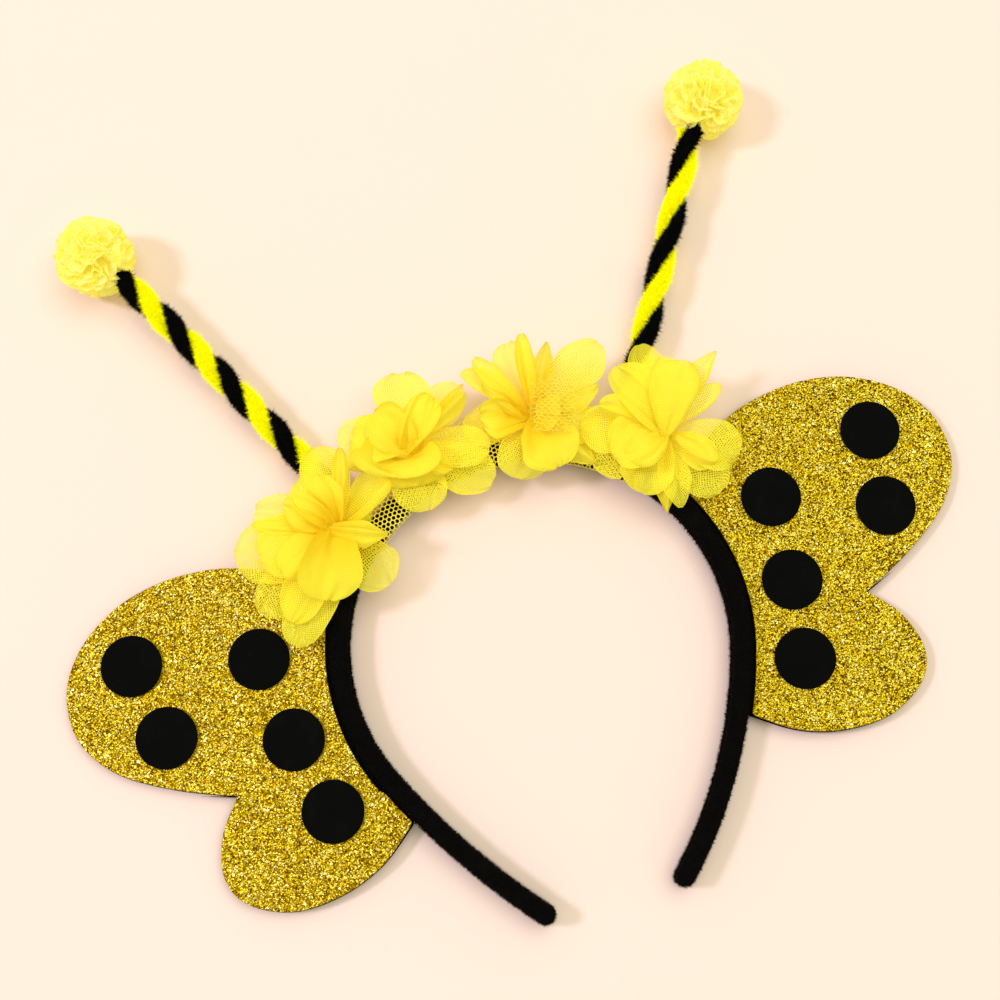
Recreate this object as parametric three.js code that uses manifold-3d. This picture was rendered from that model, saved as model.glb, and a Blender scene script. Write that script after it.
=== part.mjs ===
// Bee antenna headband, lying on its lower edge.
// A velvet band carries two spotted wings, two twisted antennae with pompoms
// and four chiffon flowers on a net ribbon. Millimetres, +Z up, antennae towards +Y.
import * as THREE from 'three';
import { mergeVertices } from 'three/addons/utils/BufferGeometryUtils.js';
import Module from 'manifold-3d';

const wasm = await Module();
wasm.setup();

// Driving dimensions of the band
const SEAT_GAP = 0.3; // clearance kept between pieces that touch
const CROWN_RADIUS = 58.2; // centreline of the round crown
const ARM_LENGTH = 67.5; // from the end of the crown to the tip of the longer arm
const BAND_THICKNESS = 5.2;
const BAND_WIDTH = 10;
const BAND_ROUNDING = 1.6;

// Driving dimensions of the wings and their spots
const WING_SPAN = 73.2; // from the band's outer face to the outermost point
const WING_HEIGHT = 102.2;
const WING_CLEARANCE = 3.2; // height of the backing above the floor beside the band
const BACKING_THICKNESS = 1.2;
const BACKING_MARGIN = 0.6; // how far the felt shows past the glitter sheet
const GLITTER_THICKNESS = 1;
const GLITTER_SETBACK = 1.6; // strip of felt left bare along the band
const SPOT_DIAMETER = 17.8;
const SPOT_THICKNESS = 0.8;

// Driving dimensions of the antennae
const ANTENNA_REACH = 117; // plan length from the band's face to the pompom's centre
const STEM_DIAMETER = 4;
const TWIST_PITCH = 25;
const POMPOM_DIAMETER = 25;
const POMPOM_CORE = 17.5;
const RUFFLE_THICKNESS = 1;
const RUFFLE_WAVE = 1.4;

// Driving dimensions of the net ribbon and the flowers
const NET_WIDTH = 16.5;
const NET_INSET = 2.6; // how far the ribbon reaches past the band's inner face
const NET_THICKNESS = 1;
const NET_PITCH = 5.4;
const NET_HOLE_LENGTH = 3.9;
const NET_HOLE_WIDTH = 2.8;
const NET_FOLD_LENGTH = 16.5;
const NET_FOLD_WIDTH = 12.5;
const NET_FOLD_TURN = -15; // degrees
const KNOT_DIAMETER = 9;
const KNOT_HEIGHT = 6.6;
const KNOT_TAPER = 0.7;
const PETAL_LENGTH = 30; // the longest petal
const PETAL_WIDTH = 18; // the widest petal
const PETAL_THICKNESS = 1;
const PETAL_NECK = 0.24; // width at the knot as a share of the full width
const PETAL_BROADEST = 0.6; // where along the petal it is widest
const PETAL_TIP_ROUNDING = 0.24; // how far the sides end before the tip
const PETAL_TIP_NARROWING = 44; // degrees of the cosine that narrows the tip

// Each arm leaves the crown after its turn in degrees, bends on at a share of the
// crown's radius and reaches a share of the arm's length
const ARMS = {
  left: { turn: 117, bend: 3.76, reach: 0.85 },
  right: { turn: 107, bend: 2.33, reach: 1 },
};

// Wing seats on the crown and the lean from its normal, degrees; root angles along the band
const WINGS = [
  { name: 'left', side: -1, seat: 94.3, lean: -1.7, rootTop: 58, rootBottom: 127 },
  { name: 'right', side: 1, seat: 90, lean: 0, rootTop: 54, rootBottom: 125 },
];

// Wing outline: out is a share of the span, up a share of the height
const UPPER_LOBE = [
  { out: 0.152, up: 0.483 },
  { out: 0.331, up: 0.527 },
  { out: 0.518, up: 0.538 },
  { out: 0.699, up: 0.514 },
  { out: 0.87, up: 0.445 },
  { out: 0.978, up: 0.339 },
  { out: 0.993, up: 0.205 },
  { out: 0.898, up: 0.083 },
  { out: 0.706, up: -0.02 },
];
const NOTCH = { out: 0.475, up: -0.106 };
const LOWER_LOBE = [
  { out: 0.583, up: -0.196 },
  { out: 0.628, up: -0.303 },
  { out: 0.578, up: -0.389 },
  { out: 0.426, up: -0.452 },
  { out: 0.235, up: -0.46 },
  { out: 0.052, up: -0.425 },
];
const WING_DROOP = 1.6; // degrees that the wing sinks away from the band

// Spot centres in the same shares as the outline
const SPOTS = [
  { out: 0.708, up: 0.344 },
  { out: 0.228, up: 0.229 },
  { out: 0.668, up: 0.117 },
  { out: 0.206, up: -0.019 },
  { out: 0.158, up: -0.244 },
];

// Antenna seats on the crown and plan lean in degrees; reach, bow and pitch are shares
const ANTENNAE = [
  { name: 'left', side: -1, seat: 43.2, lean: 28.8, reach: 1.01, bow: 0, pitch: 0.92 },
  { name: 'right', side: 1, seat: 39.5, lean: 28.7, reach: 0.99, bow: 0.02, pitch: 1.1 },
];

// Ruffled discs of a pompom: level is a share of its radius, waves and phase shape the rim
const RUFFLES = [
  { level: -0.66, waves: 4, phase: 0.4 },
  { level: -0.24, waves: 5, phase: 1.9 },
  { level: 0.2, waves: 5, phase: 0 },
  { level: 0.62, waves: 4, phase: 1.1 },
];

// Flowers on the ribbon: sweep in degrees from the apex, out is a share of the ribbon's
// width. Petals: toward, lift, curl, cup and roll in degrees; long and wide are shares of
// the petal sizes and seat is a share of the knot's height
const FLOWERS = [
  {
    name: 'flower_1', sweep: -46.6, out: 0.31,
    petals: [
      { toward: 87, long: 0.9, wide: 0.8, lift: 26, curl: -26, cup: 24, roll: 0, seat: 0.55 },
      { toward: 137, long: 0.64, wide: 0.6, lift: 50, curl: -60, cup: 45, roll: 12, seat: 0.8 },
      { toward: -179, long: 1, wide: 0.9, lift: 18, curl: -34, cup: 22, roll: 0, seat: 0.4 },
      { toward: -127, long: 0.98, wide: 0.7, lift: 12, curl: -24, cup: 30, roll: 0, seat: 0.3 },
      { toward: -108, long: 0.8, wide: 1, lift: 58, curl: -76, cup: 42, roll: -10, seat: 0.85 },
      { toward: -45, long: 0.7, wide: 0.8, lift: 16, curl: -28, cup: 20, roll: 0, seat: 0.45 },
      { toward: 29, long: 0.62, wide: 0.76, lift: 8, curl: -10, cup: 26, roll: 0, seat: 0.3 },
      { toward: 65, long: 0.8, wide: 0.34, lift: 44, curl: -20, cup: 78, roll: 0, seat: 0.7 },
    ],
  },
  {
    name: 'flower_2', sweep: -18.4, out: 0.43,
    petals: [
      { toward: 84, long: 0.8, wide: 0.88, lift: 22, curl: -22, cup: 24, roll: 0, seat: 0.5 },
      { toward: 154, long: 0.66, wide: 0.62, lift: 40, curl: -22, cup: 22, roll: 0, seat: 0.8 },
      { toward: 125, long: 0.72, wide: 0.9, lift: 66, curl: -60, cup: 60, roll: 0, seat: 0.9 },
      { toward: 48, long: 0.74, wide: 0.7, lift: 62, curl: -58, cup: 55, roll: -12, seat: 0.85 },
      { toward: 26, long: 0.74, wide: 0.26, lift: 34, curl: -14, cup: 78, roll: 0, seat: 0.55 },
      { toward: -18, long: 0.62, wide: 0.64, lift: 24, curl: -30, cup: 34, roll: 0, seat: 0.5 },
      { toward: -46, long: 0.9, wide: 0.8, lift: 8, curl: -20, cup: 22, roll: 0, seat: 0.3 },
      { toward: -91, long: 0.76, wide: 0.84, lift: 18, curl: -36, cup: 26, roll: 0, seat: 0.5 },
    ],
  },
  {
    name: 'flower_3', sweep: 13.6, out: 0.3,
    petals: [
      { toward: 108, long: 0.9, wide: 0.32, lift: 30, curl: -20, cup: 66, roll: 0, seat: 0.6 },
      { toward: 128, long: 0.84, wide: 0.3, lift: 24, curl: -18, cup: 70, roll: 0, seat: 0.5 },
      { toward: 155, long: 0.56, wide: 0.56, lift: 46, curl: -44, cup: 50, roll: 0, seat: 0.7 },
      { toward: -160, long: 0.66, wide: 0.64, lift: 10, curl: -24, cup: 24, roll: 0, seat: 0.35 },
      { toward: -106, long: 0.72, wide: 0.86, lift: 16, curl: -30, cup: 22, roll: 0, seat: 0.36 },
      { toward: -66, long: 0.62, wide: 0.7, lift: 12, curl: -22, cup: 24, roll: 0, seat: 0.35 },
      { toward: 64, long: 0.8, wide: 0.4, lift: 2, curl: 16, cup: 36, roll: 0, seat: 0.2 },
      { toward: 36, long: 1, wide: 0.7, lift: 4, curl: 12, cup: 18, roll: 0, seat: 0.2 },
    ],
  },
  {
    name: 'flower_4', sweep: 46.8, out: 0.6,
    petals: [
      { toward: 58, long: 0.84, wide: 0.8, lift: 52, curl: -44, cup: 40, roll: 0, seat: 0.85 },
      { toward: 108, long: 0.9, wide: 0.62, lift: 30, curl: -24, cup: 34, roll: 0, seat: 0.6 },
      { toward: 86, long: 0.96, wide: 0.7, lift: 16, curl: -12, cup: 22, roll: 0, seat: 0.4 },
      { toward: 34, long: 0.9, wide: 0.36, lift: 22, curl: -12, cup: 64, roll: 0, seat: 0.45 },
      { toward: -29, long: 0.76, wide: 0.86, lift: 20, curl: -30, cup: 22, roll: 0, seat: 0.5 },
      { toward: -66, long: 0.76, wide: 0.5, lift: 12, curl: -22, cup: 30, roll: 0, seat: 0.35 },
      { toward: -166, long: 0.62, wide: 0.9, lift: 52, curl: -70, cup: 46, roll: 0, seat: 0.85 },
      { toward: -104, long: 0.78, wide: 0.5, lift: 12, curl: -26, cup: 44, roll: 0, seat: 0.35 },
    ],
  },
];

// Counts that set how finely the round forms are cut
const CROWN_STEPS = 32;
const ARM_STEPS = 6;
const TIP_STEPS = 5;
const LOBE_STEPS = 18;
const ROOT_STEPS = 14;
const SPOT_SIDES = 18;
const STEM_SIDES = 6;
const STEM_STEPS = 38;
const RUFFLE_SIDES = 18;
const NET_ROWS = 3;
const FOLD_HOLES_LONG = 4;
const FOLD_HOLES_WIDE = 3;
const CORE_SIDES = 10;
const CORE_RINGS = 7;
const KNOT_SIDES = 10;
const PETAL_COLUMNS = 4;
const PETAL_ROWS = 3;

// Finishes
const velvet = { color: 0x14110f, roughness: 0.95, metalness: 0 };
const felt = { color: 0x1a1715, roughness: 0.95, metalness: 0 };
const glitter = { color: 0xb8921e, roughness: 0.4, metalness: 0.6 };
const blackChenille = { color: 0x100f0e, roughness: 0.9, metalness: 0 };
const yellowChenille = { color: 0xf8f417, roughness: 0.9, metalness: 0 };
const tulle = { color: 0xfdec6a, roughness: 0.8, metalness: 0 };
const chiffon = { color: 0xfde12c, roughness: 0.75, metalness: 0 };

const radians = THREE.MathUtils.degToRad;
const NET_MIDDLE = NET_WIDTH / 2 - NET_INSET - BAND_THICKNESS / 2;
const STRAND_OFFSET = STEM_DIAMETER / 2 + SEAT_GAP; // from an antenna's axis to each strand

function finished(name, geometry, finish) {
  const mesh = new THREE.Mesh(geometry, new THREE.MeshStandardMaterial(finish));
  mesh.name = name;
  return mesh;
}

function fuse(geometries) {
  const solids = geometries.map((geometry) => {
    const bare = geometry.clone();
    bare.deleteAttribute('normal');
    bare.deleteAttribute('uv');
    const merged = mergeVertices(bare);
    return new wasm.Manifold(new wasm.Mesh({
      numProp: 3,
      vertProperties: Float32Array.from(merged.attributes.position.array),
      triVerts: Uint32Array.from(merged.index.array),
    }));
  });
  const mesh = solids.reduce((whole, solid) => whole.add(solid)).getMesh();
  const geometry = new THREE.BufferGeometry();
  geometry.setAttribute('position', new THREE.BufferAttribute(mesh.vertProperties, 3));
  geometry.setIndex(new THREE.BufferAttribute(mesh.triVerts, 1));
  geometry.computeVertexNormals();
  return geometry;
}

// A point beside the band's centreline: station is the signed length from the apex, offset
// the distance outwards
function besideBand(station, offset) {
  const side = Math.sign(station) || 1;
  const arm = side < 0 ? ARMS.left : ARMS.right;
  const turn = radians(arm.turn);
  const crownLength = CROWN_RADIUS * turn;
  const length = Math.abs(station);
  const onCrown = length <= crownLength;
  const bend = onCrown ? CROWN_RADIUS : CROWN_RADIUS * arm.bend;
  const angle = onCrown ? length / CROWN_RADIUS : turn + (length - crownLength) / bend;
  const shift = CROWN_RADIUS - bend;
  const x = shift * Math.sin(turn) + (bend + offset) * Math.sin(angle);
  const y = shift * Math.cos(turn) + (bend + offset) * Math.cos(angle);
  return { point: new THREE.Vector2(side * x, y), heading: side * angle };
}

function crownStation(degrees) {
  return CROWN_RADIUS * radians(degrees);
}

function armEnd(arm) {
  return crownStation(arm.turn) + ARM_LENGTH * arm.reach;
}

// Evenly spaced stations of each stretch from the left tip to the right tip
function bandStations() {
  const leftTurn = crownStation(ARMS.left.turn);
  const rightTurn = crownStation(ARMS.right.turn);
  const stretches = [
    { from: -armEnd(ARMS.left), to: -leftTurn, steps: ARM_STEPS },
    { from: -leftTurn, to: rightTurn, steps: CROWN_STEPS },
    { from: rightTurn, to: armEnd(ARMS.right), steps: ARM_STEPS },
  ];
  const stations = stretches.flatMap(({ from, to, steps }) =>
    Array.from({ length: steps }, (_, i) => THREE.MathUtils.lerp(from, to, i / steps)));
  return [...stations, armEnd(ARMS.right)];
}

function roundTip(station, radius) {
  const { point, heading } = besideBand(station, 0);
  const start = Math.PI / 2 - heading;
  const turn = station > 0 ? -1 : 1;
  return Array.from({ length: TIP_STEPS - 1 }, (_, i) => {
    const angle = start + turn * Math.PI * ((i + 1) / TIP_STEPS);
    return new THREE.Vector2(Math.cos(angle), Math.sin(angle)).multiplyScalar(radius).add(point);
  });
}

function bandGeometry() {
  const half = BAND_THICKNESS / 2;
  const stations = bandStations();
  const outer = stations.map((station) => besideBand(station, half).point);
  const inner = stations.map((station) => besideBand(station, -half).point).reverse();
  const rightTip = roundTip(armEnd(ARMS.right), half);
  const leftTip = roundTip(-armEnd(ARMS.left), half).reverse();
  const outline = new THREE.Shape([...outer, ...rightTip, ...inner, ...leftTip]);
  const geometry = new THREE.ExtrudeGeometry(outline, {
    depth: BAND_WIDTH - 2 * BAND_ROUNDING,
    bevelThickness: BAND_ROUNDING,
    bevelSize: BAND_ROUNDING,
    bevelOffset: -BAND_ROUNDING,
    bevelSegments: 2,
  });
  return geometry.translate(0, 0, BAND_ROUNDING);
}

// Moves the points of an open outline sideways by a margin
function spread(points, margin) {
  return points.map((point, i) => {
    const before = points[Math.max(i - 1, 0)];
    const after = points[Math.min(i + 1, points.length - 1)];
    const along = after.clone().sub(before).normalize();
    return point.clone().add(new THREE.Vector2(-along.y, along.x).multiplyScalar(margin));
  });
}

// The wing's own frame: x leads away from the band and y along it
function wingFrame(wing) {
  const face = BAND_THICKNESS / 2;
  const { point, heading } = besideBand(wing.side * crownStation(wing.seat), face);
  const turn = Math.PI / 2 - heading + wing.side * radians(wing.lean);
  const local = (planPoint) => planPoint.clone().sub(point).rotateAround(new THREE.Vector2(), -turn);
  return { point, turn, local };
}

function wingPoint(wing, { out, up }) {
  return new THREE.Vector2(out * WING_SPAN, wing.side * up * WING_HEIGHT);
}

function wingGeometry(wing, setback, margin, thickness) {
  const { local } = wingFrame(wing);
  const edge = (degrees) =>
    local(besideBand(wing.side * crownStation(degrees), BAND_THICKNESS / 2 + setback).point);
  const notch = wingPoint(wing, NOTCH);
  const upper = [edge(wing.rootTop), ...UPPER_LOBE.map((row) => wingPoint(wing, row)), notch];
  const lower = [notch, ...LOWER_LOBE.map((row) => wingPoint(wing, row)), edge(wing.rootBottom)];
  const lobes = [upper, lower].flatMap((points, i) =>
    new THREE.SplineCurve(points).getPoints(LOBE_STEPS).slice(i));
  const rim = spread(lobes, margin * wing.side).slice(1, -1);
  const root = Array.from({ length: ROOT_STEPS + 1 }, (_, i) =>
    edge(THREE.MathUtils.lerp(wing.rootBottom, wing.rootTop, i / ROOT_STEPS)));
  const outline = new THREE.Shape([...rim, ...root]);
  return new THREE.ExtrudeGeometry(outline, { depth: thickness, bevelEnabled: false });
}

function wing(row) {
  const { point, turn } = wingFrame(row);
  const backing = finished(`wing_${row.name}_backing`,
    wingGeometry(row, SEAT_GAP, BACKING_MARGIN, BACKING_THICKNESS), felt);
  const sheet = finished(`wing_${row.name}_glitter`,
    wingGeometry(row, GLITTER_SETBACK, 0, GLITTER_THICKNESS), glitter);
  sheet.position.z = BACKING_THICKNESS + SEAT_GAP;
  const spotLevel = sheet.position.z + GLITTER_THICKNESS + SEAT_GAP;
  const spots = SPOTS.map((centre, i) => {
    const radius = SPOT_DIAMETER / 2;
    const disc = new THREE.CylinderGeometry(radius, radius, SPOT_THICKNESS, SPOT_SIDES);
    disc.rotateX(Math.PI / 2);
    const spot = finished(`spot_${row.name}_${i + 1}`, disc, felt);
    const { x, y } = wingPoint(row, centre);
    spot.position.set(x, y, spotLevel + SPOT_THICKNESS / 2);
    return spot;
  });
  const drooping = new THREE.Group();
  drooping.rotation.y = radians(WING_DROOP);
  drooping.add(backing, sheet, ...spots);
  const seated = new THREE.Group();
  seated.position.set(point.x, point.y, WING_CLEARANCE);
  seated.rotation.z = turn;
  seated.add(drooping);
  return seated;
}

// One strand of an antenna, a helix about a line that bows sideways and rises to the pompom
class Strand extends THREE.Curve {
  constructor(antenna, phase) {
    super();
    Object.assign(this, antennaLine(antenna), { phase });
    this.turns = this.from.distanceTo(this.to) / (TWIST_PITCH * antenna.pitch);
  }

  getPoint(t) {
    const angle = this.phase + 2 * Math.PI * this.turns * t;
    const bow = this.bow * Math.sin(Math.PI * t);
    return this.from.clone().lerp(this.to, t)
      .addScaledVector(this.across, bow + STRAND_OFFSET * Math.cos(angle))
      .addScaledVector(this.above, STRAND_OFFSET * Math.sin(angle));
  }
}

function antennaLine(antenna) {
  const seat = antenna.side * crownStation(antenna.seat);
  const lean = antenna.side * radians(antenna.lean);
  const direction = new THREE.Vector3(Math.sin(lean), Math.cos(lean), 0);
  const face = besideBand(seat, BAND_THICKNESS / 2);
  const foot = new THREE.Vector3(face.point.x, face.point.y, BAND_WIDTH / 2);
  const centre = foot.clone().addScaledVector(direction, ANTENNA_REACH * antenna.reach);
  centre.z = POMPOM_DIAMETER / 2;
  const axis = centre.clone().sub(foot).normalize();
  const ropeRadius = STRAND_OFFSET + STEM_DIAMETER / 2;
  const helix = Math.atan2(2 * Math.PI * STRAND_OFFSET, TWIST_PITCH * antenna.pitch);
  const endCut = (STEM_DIAMETER / 2) * Math.sin(helix);
  const footGap = SEAT_GAP + endCut + ropeRadius * Math.abs(Math.sin(face.heading - lean));
  const from = foot.clone().addScaledVector(axis, footGap);
  const pompomGap = POMPOM_CORE / 2 + 2 * SEAT_GAP + endCut;
  const to = centre.clone().addScaledVector(axis, -pompomGap);
  const across = new THREE.Vector3(direction.y, -direction.x, 0);
  const above = new THREE.Vector3().crossVectors(across, axis).negate();
  const bow = antenna.side * antenna.bow * ANTENNA_REACH;
  return { from, to, centre, across, above, bow };
}

function stem(antenna, colour, phase, finish) {
  const corners = Array.from({ length: STEM_SIDES }, (_, i) => {
    const angle = (2 * Math.PI * i) / STEM_SIDES;
    return new THREE.Vector2(Math.cos(angle), Math.sin(angle)).multiplyScalar(STEM_DIAMETER / 2);
  });
  const geometry = new THREE.ExtrudeGeometry(new THREE.Shape(corners), {
    steps: STEM_STEPS,
    extrudePath: new Strand(antenna, phase),
  });
  return finished(`antenna_${antenna.name}_${colour}`, geometry, finish);
}

function ruffle({ level, waves, phase }) {
  const ball = POMPOM_DIAMETER / 2;
  const radius = ball * Math.sqrt(1 - level * level);
  const disc = new THREE.CylinderGeometry(radius, radius, RUFFLE_THICKNESS, RUFFLE_SIDES);
  const position = disc.attributes.position;
  for (let i = 0; i < position.count; i += 1) {
    const x = position.getX(i);
    const z = position.getZ(i);
    const share = Math.hypot(x, z) / radius;
    const wave = share * RUFFLE_WAVE * Math.sin(waves * Math.atan2(z, x) + phase);
    position.setY(i, position.getY(i) + wave + level * ball);
  }
  return disc;
}

function pompom(antenna) {
  const core = new THREE.SphereGeometry(POMPOM_CORE / 2, CORE_SIDES, CORE_RINGS);
  const mesh = finished(`pompom_${antenna.name}`, fuse([core, ...RUFFLES.map(ruffle)]), tulle);
  mesh.position.copy(antennaLine(antenna).centre);
  mesh.rotation.z = -antenna.side * radians(antenna.lean);
  return mesh;
}

function diamond(x, y, length, width, turn) {
  const corners = [[length, 0], [0, width], [-length, 0], [0, -width]];
  return new THREE.Path(corners.map(([along, across]) =>
    new THREE.Vector2(along / 2, across / 2).rotateAround(new THREE.Vector2(), turn)
      .add(new THREE.Vector2(x, y))));
}

// The net ribbon lies on the band's upper edge and runs from below one end flower to the other
function ribbonGeometry() {
  const from = crownStation(FLOWERS[0].sweep);
  const to = crownStation(FLOWERS[FLOWERS.length - 1].sweep);
  const count = Math.round((to - from) / NET_PITCH);
  const rail = (offset) => Array.from({ length: count + 1 }, (_, i) =>
    besideBand(THREE.MathUtils.lerp(from, to, i / count), offset).point);
  const outer = rail(NET_MIDDLE + NET_WIDTH / 2);
  const inner = rail(NET_MIDDLE - NET_WIDTH / 2).reverse();
  const outline = new THREE.Shape([...outer, ...inner]);
  for (let row = 0; row < NET_ROWS; row += 1) {
    const offset = NET_MIDDLE + NET_WIDTH * ((row + 0.5) / NET_ROWS - 0.5);
    const shift = row % 2 ? 1 : 0.5;
    for (let i = 0; i + shift < count; i += 1) {
      const station = THREE.MathUtils.lerp(from, to, (i + shift) / count);
      const { point, heading } = besideBand(station, offset);
      outline.holes.push(diamond(point.x, point.y, NET_HOLE_LENGTH, NET_HOLE_WIDTH, -heading));
    }
  }
  const geometry = new THREE.ExtrudeGeometry(outline, { depth: NET_THICKNESS, bevelEnabled: false });
  return geometry.translate(0, 0, BAND_WIDTH + SEAT_GAP);
}

// Breadth of a petal as a share of its full width
function petalBreadth(along) {
  if (along < PETAL_BROADEST) {
    return PETAL_NECK + (1 - PETAL_NECK) * Math.sin((along / PETAL_BROADEST) * (Math.PI / 2));
  }
  const beyond = (along - PETAL_BROADEST) / (1 - PETAL_BROADEST);
  return Math.cos(radians(PETAL_TIP_NARROWING) * beyond);
}

// A petal bends along its length and across its width, as a block of cells mapped onto it
function petalGeometry({ toward, long, wide, lift, curl, cup, roll, seat }) {
  const block = new THREE.BoxGeometry(1, 1, 1, PETAL_COLUMNS, PETAL_ROWS, 1);
  const position = block.attributes.position;
  const length = long * PETAL_LENGTH;
  const halfWidth = (wide * PETAL_WIDTH) / 2;
  const turn = new THREE.Matrix4().makeRotationZ(radians(toward));
  for (let i = 0; i < position.count; i += 1) {
    const across = 2 * position.getX(i);
    const along = (position.getY(i) + 0.5) * (1 - PETAL_TIP_ROUNDING * across * across);
    const broad = petalBreadth(along);
    const pitch = radians(lift) + radians(curl) * along / 2;
    const arc = radians(cup) * across;
    const bowl = halfWidth * broad / radians(cup);
    const layer = position.getZ(i) * PETAL_THICKNESS;
    const side = (bowl - layer) * Math.sin(arc);
    const rise = bowl - (bowl - layer) * Math.cos(arc);
    const tilted = new THREE.Vector2(side, rise).rotateAround(new THREE.Vector2(), radians(roll));
    const middle = radians(lift) + radians(curl) * along;
    position.setXYZ(i,
      along * length * Math.cos(pitch) - tilted.y * Math.sin(middle),
      -tilted.x,
      along * length * Math.sin(pitch) + tilted.y * Math.cos(middle) + seat * KNOT_HEIGHT);
  }
  return block.applyMatrix4(turn);
}

function flowerCentre(flower) {
  return besideBand(crownStation(flower.sweep), NET_MIDDLE + flower.out * NET_WIDTH).point;
}

function flower(row) {
  const radius = KNOT_DIAMETER / 2;
  const knot = new THREE.CylinderGeometry(radius * KNOT_TAPER, radius, KNOT_HEIGHT, KNOT_SIDES);
  knot.rotateX(Math.PI / 2).translate(0, 0, KNOT_HEIGHT / 2);
  const mesh = finished(row.name, fuse([knot, ...row.petals.map(petalGeometry)]), chiffon);
  const { x, y } = flowerCentre(row);
  mesh.position.set(x, y, BAND_WIDTH + NET_THICKNESS + 2 * SEAT_GAP);
  return mesh;
}

// A cut end of the ribbon is turned up over the third flower and lies on its knot
function netFold() {
  const corners = [[-1, -1], [1, -1], [1, 1], [-1, 1]];
  const outline = new THREE.Shape(corners.map(([x, y]) =>
    new THREE.Vector2((x * NET_FOLD_WIDTH) / 2, (y * NET_FOLD_LENGTH) / 2)));
  for (let column = 0; column < FOLD_HOLES_WIDE; column += 1) {
    for (let row = 0; row < FOLD_HOLES_LONG; row += 1) {
      const x = NET_FOLD_WIDTH * ((column + 0.5) / FOLD_HOLES_WIDE - 0.5);
      const y = NET_FOLD_LENGTH * ((row + 0.5) / FOLD_HOLES_LONG - 0.5);
      outline.holes.push(diamond(x, y, NET_HOLE_LENGTH, NET_HOLE_WIDTH, 0));
    }
  }
  const geometry = new THREE.ExtrudeGeometry(outline, { depth: NET_THICKNESS, bevelEnabled: false });
  const mesh = finished('net_fold', geometry, tulle);
  const { x, y } = flowerCentre(FLOWERS[2]);
  const level = BAND_WIDTH + NET_THICKNESS + KNOT_HEIGHT + 3 * SEAT_GAP;
  mesh.position.set(x + NET_FOLD_WIDTH / 2 + SEAT_GAP, y, level);
  mesh.rotation.z = radians(NET_FOLD_TURN);
  return mesh;
}

const headband = new THREE.Group();
headband.add(finished('band', bandGeometry(), velvet));
headband.add(...WINGS.map(wing));
for (const antenna of ANTENNAE) {
  headband.add(stem(antenna, 'black', 0, blackChenille));
  headband.add(stem(antenna, 'yellow', Math.PI, yellowChenille));
  headband.add(pompom(antenna));
}
headband.add(finished('net_ribbon', ribbonGeometry(), tulle));
headband.add(...FLOWERS.map(flower), netFold());

// The origin is the middle of the footprint, on the floor
const extent = new THREE.Box3().setFromObject(headband, true);
const centre = extent.getCenter(new THREE.Vector3());
headband.position.set(-centre.x, -centre.y, -extent.min.z);

export default headband;
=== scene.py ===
"""Looks of a bee antenna headband that lies on its lower edge.

A velvet band carries two glitter wings with felt spots, two antennae of twisted chenille with
tulle pompoms, and four chiffon flowers on a net ribbon. Lengths are in millimetres and angles in
degrees until a piece is finished, which turns its mesh into metres.
"""

import logging
import math
from collections.abc import Callable, Iterable, Sequence
from dataclasses import dataclass, field
from enum import Enum

import bmesh
import bpy
import numpy as np
from mathutils import Matrix, Vector, noise


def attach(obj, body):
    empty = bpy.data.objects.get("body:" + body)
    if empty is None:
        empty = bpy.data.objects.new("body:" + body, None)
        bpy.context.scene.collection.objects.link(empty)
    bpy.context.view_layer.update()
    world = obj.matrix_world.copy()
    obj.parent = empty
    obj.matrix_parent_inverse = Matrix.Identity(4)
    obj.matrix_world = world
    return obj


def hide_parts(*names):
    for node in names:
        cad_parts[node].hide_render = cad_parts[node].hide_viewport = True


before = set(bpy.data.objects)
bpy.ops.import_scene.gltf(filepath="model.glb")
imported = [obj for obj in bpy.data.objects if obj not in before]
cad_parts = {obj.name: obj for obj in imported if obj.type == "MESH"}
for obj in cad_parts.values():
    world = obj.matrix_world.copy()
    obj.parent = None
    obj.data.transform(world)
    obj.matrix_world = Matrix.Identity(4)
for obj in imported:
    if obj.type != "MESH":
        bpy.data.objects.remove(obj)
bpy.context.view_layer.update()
MM = 0.001
LOG = logging.getLogger("headband")

Colour = tuple[float, float, float, float]


# Shader tools


class Value:
    """A number in a material's nodes. Operators on it add Math nodes."""

    def __init__(self, tree: "Tree", socket: bpy.types.NodeSocket) -> None:
        """Wraps a socket of a tree."""
        self.tree = tree
        self.socket = socket

    def __add__(self, other: "Value | float") -> "Value":
        """Sum."""
        return self.tree.math("ADD", self, other)

    def __sub__(self, other: "Value | float") -> "Value":
        """Difference."""
        return self.tree.math("SUBTRACT", self, other)

    def __rsub__(self, other: float) -> "Value":
        """Difference from a number."""
        return self.tree.math("SUBTRACT", other, self)

    def __mul__(self, other: "Value | float") -> "Value":
        """Product."""
        return self.tree.math("MULTIPLY", self, other)

    def __truediv__(self, other: "Value | float") -> "Value":
        """Quotient."""
        return self.tree.math("DIVIDE", self, other)

    def __rtruediv__(self, other: float) -> "Value":
        """Quotient of a number and this."""
        return self.tree.math("DIVIDE", other, self)

    __radd__ = __add__
    __rmul__ = __mul__

    def smooth(self, low: float, high: float) -> "Value":
        """0 below low, 1 above high, and a smooth rise between them."""
        rise = self.tree.node(
            "ShaderNodeMapRange",
            {"interpolation_type": "SMOOTHSTEP"},
            {0: self, 1: low, 2: high, 3: 0.0, 4: 1.0},
        )
        return Value(self.tree, rise.outputs[0])

    def wave(self, length: float) -> "Value":
        """A sine wave of this length, from 0 to 1."""
        return self.tree.math("SINE", self * (2 * math.pi / length)) * 0.5 + 0.5


Feed = Value | bpy.types.NodeSocket | float | Sequence[float]


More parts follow.
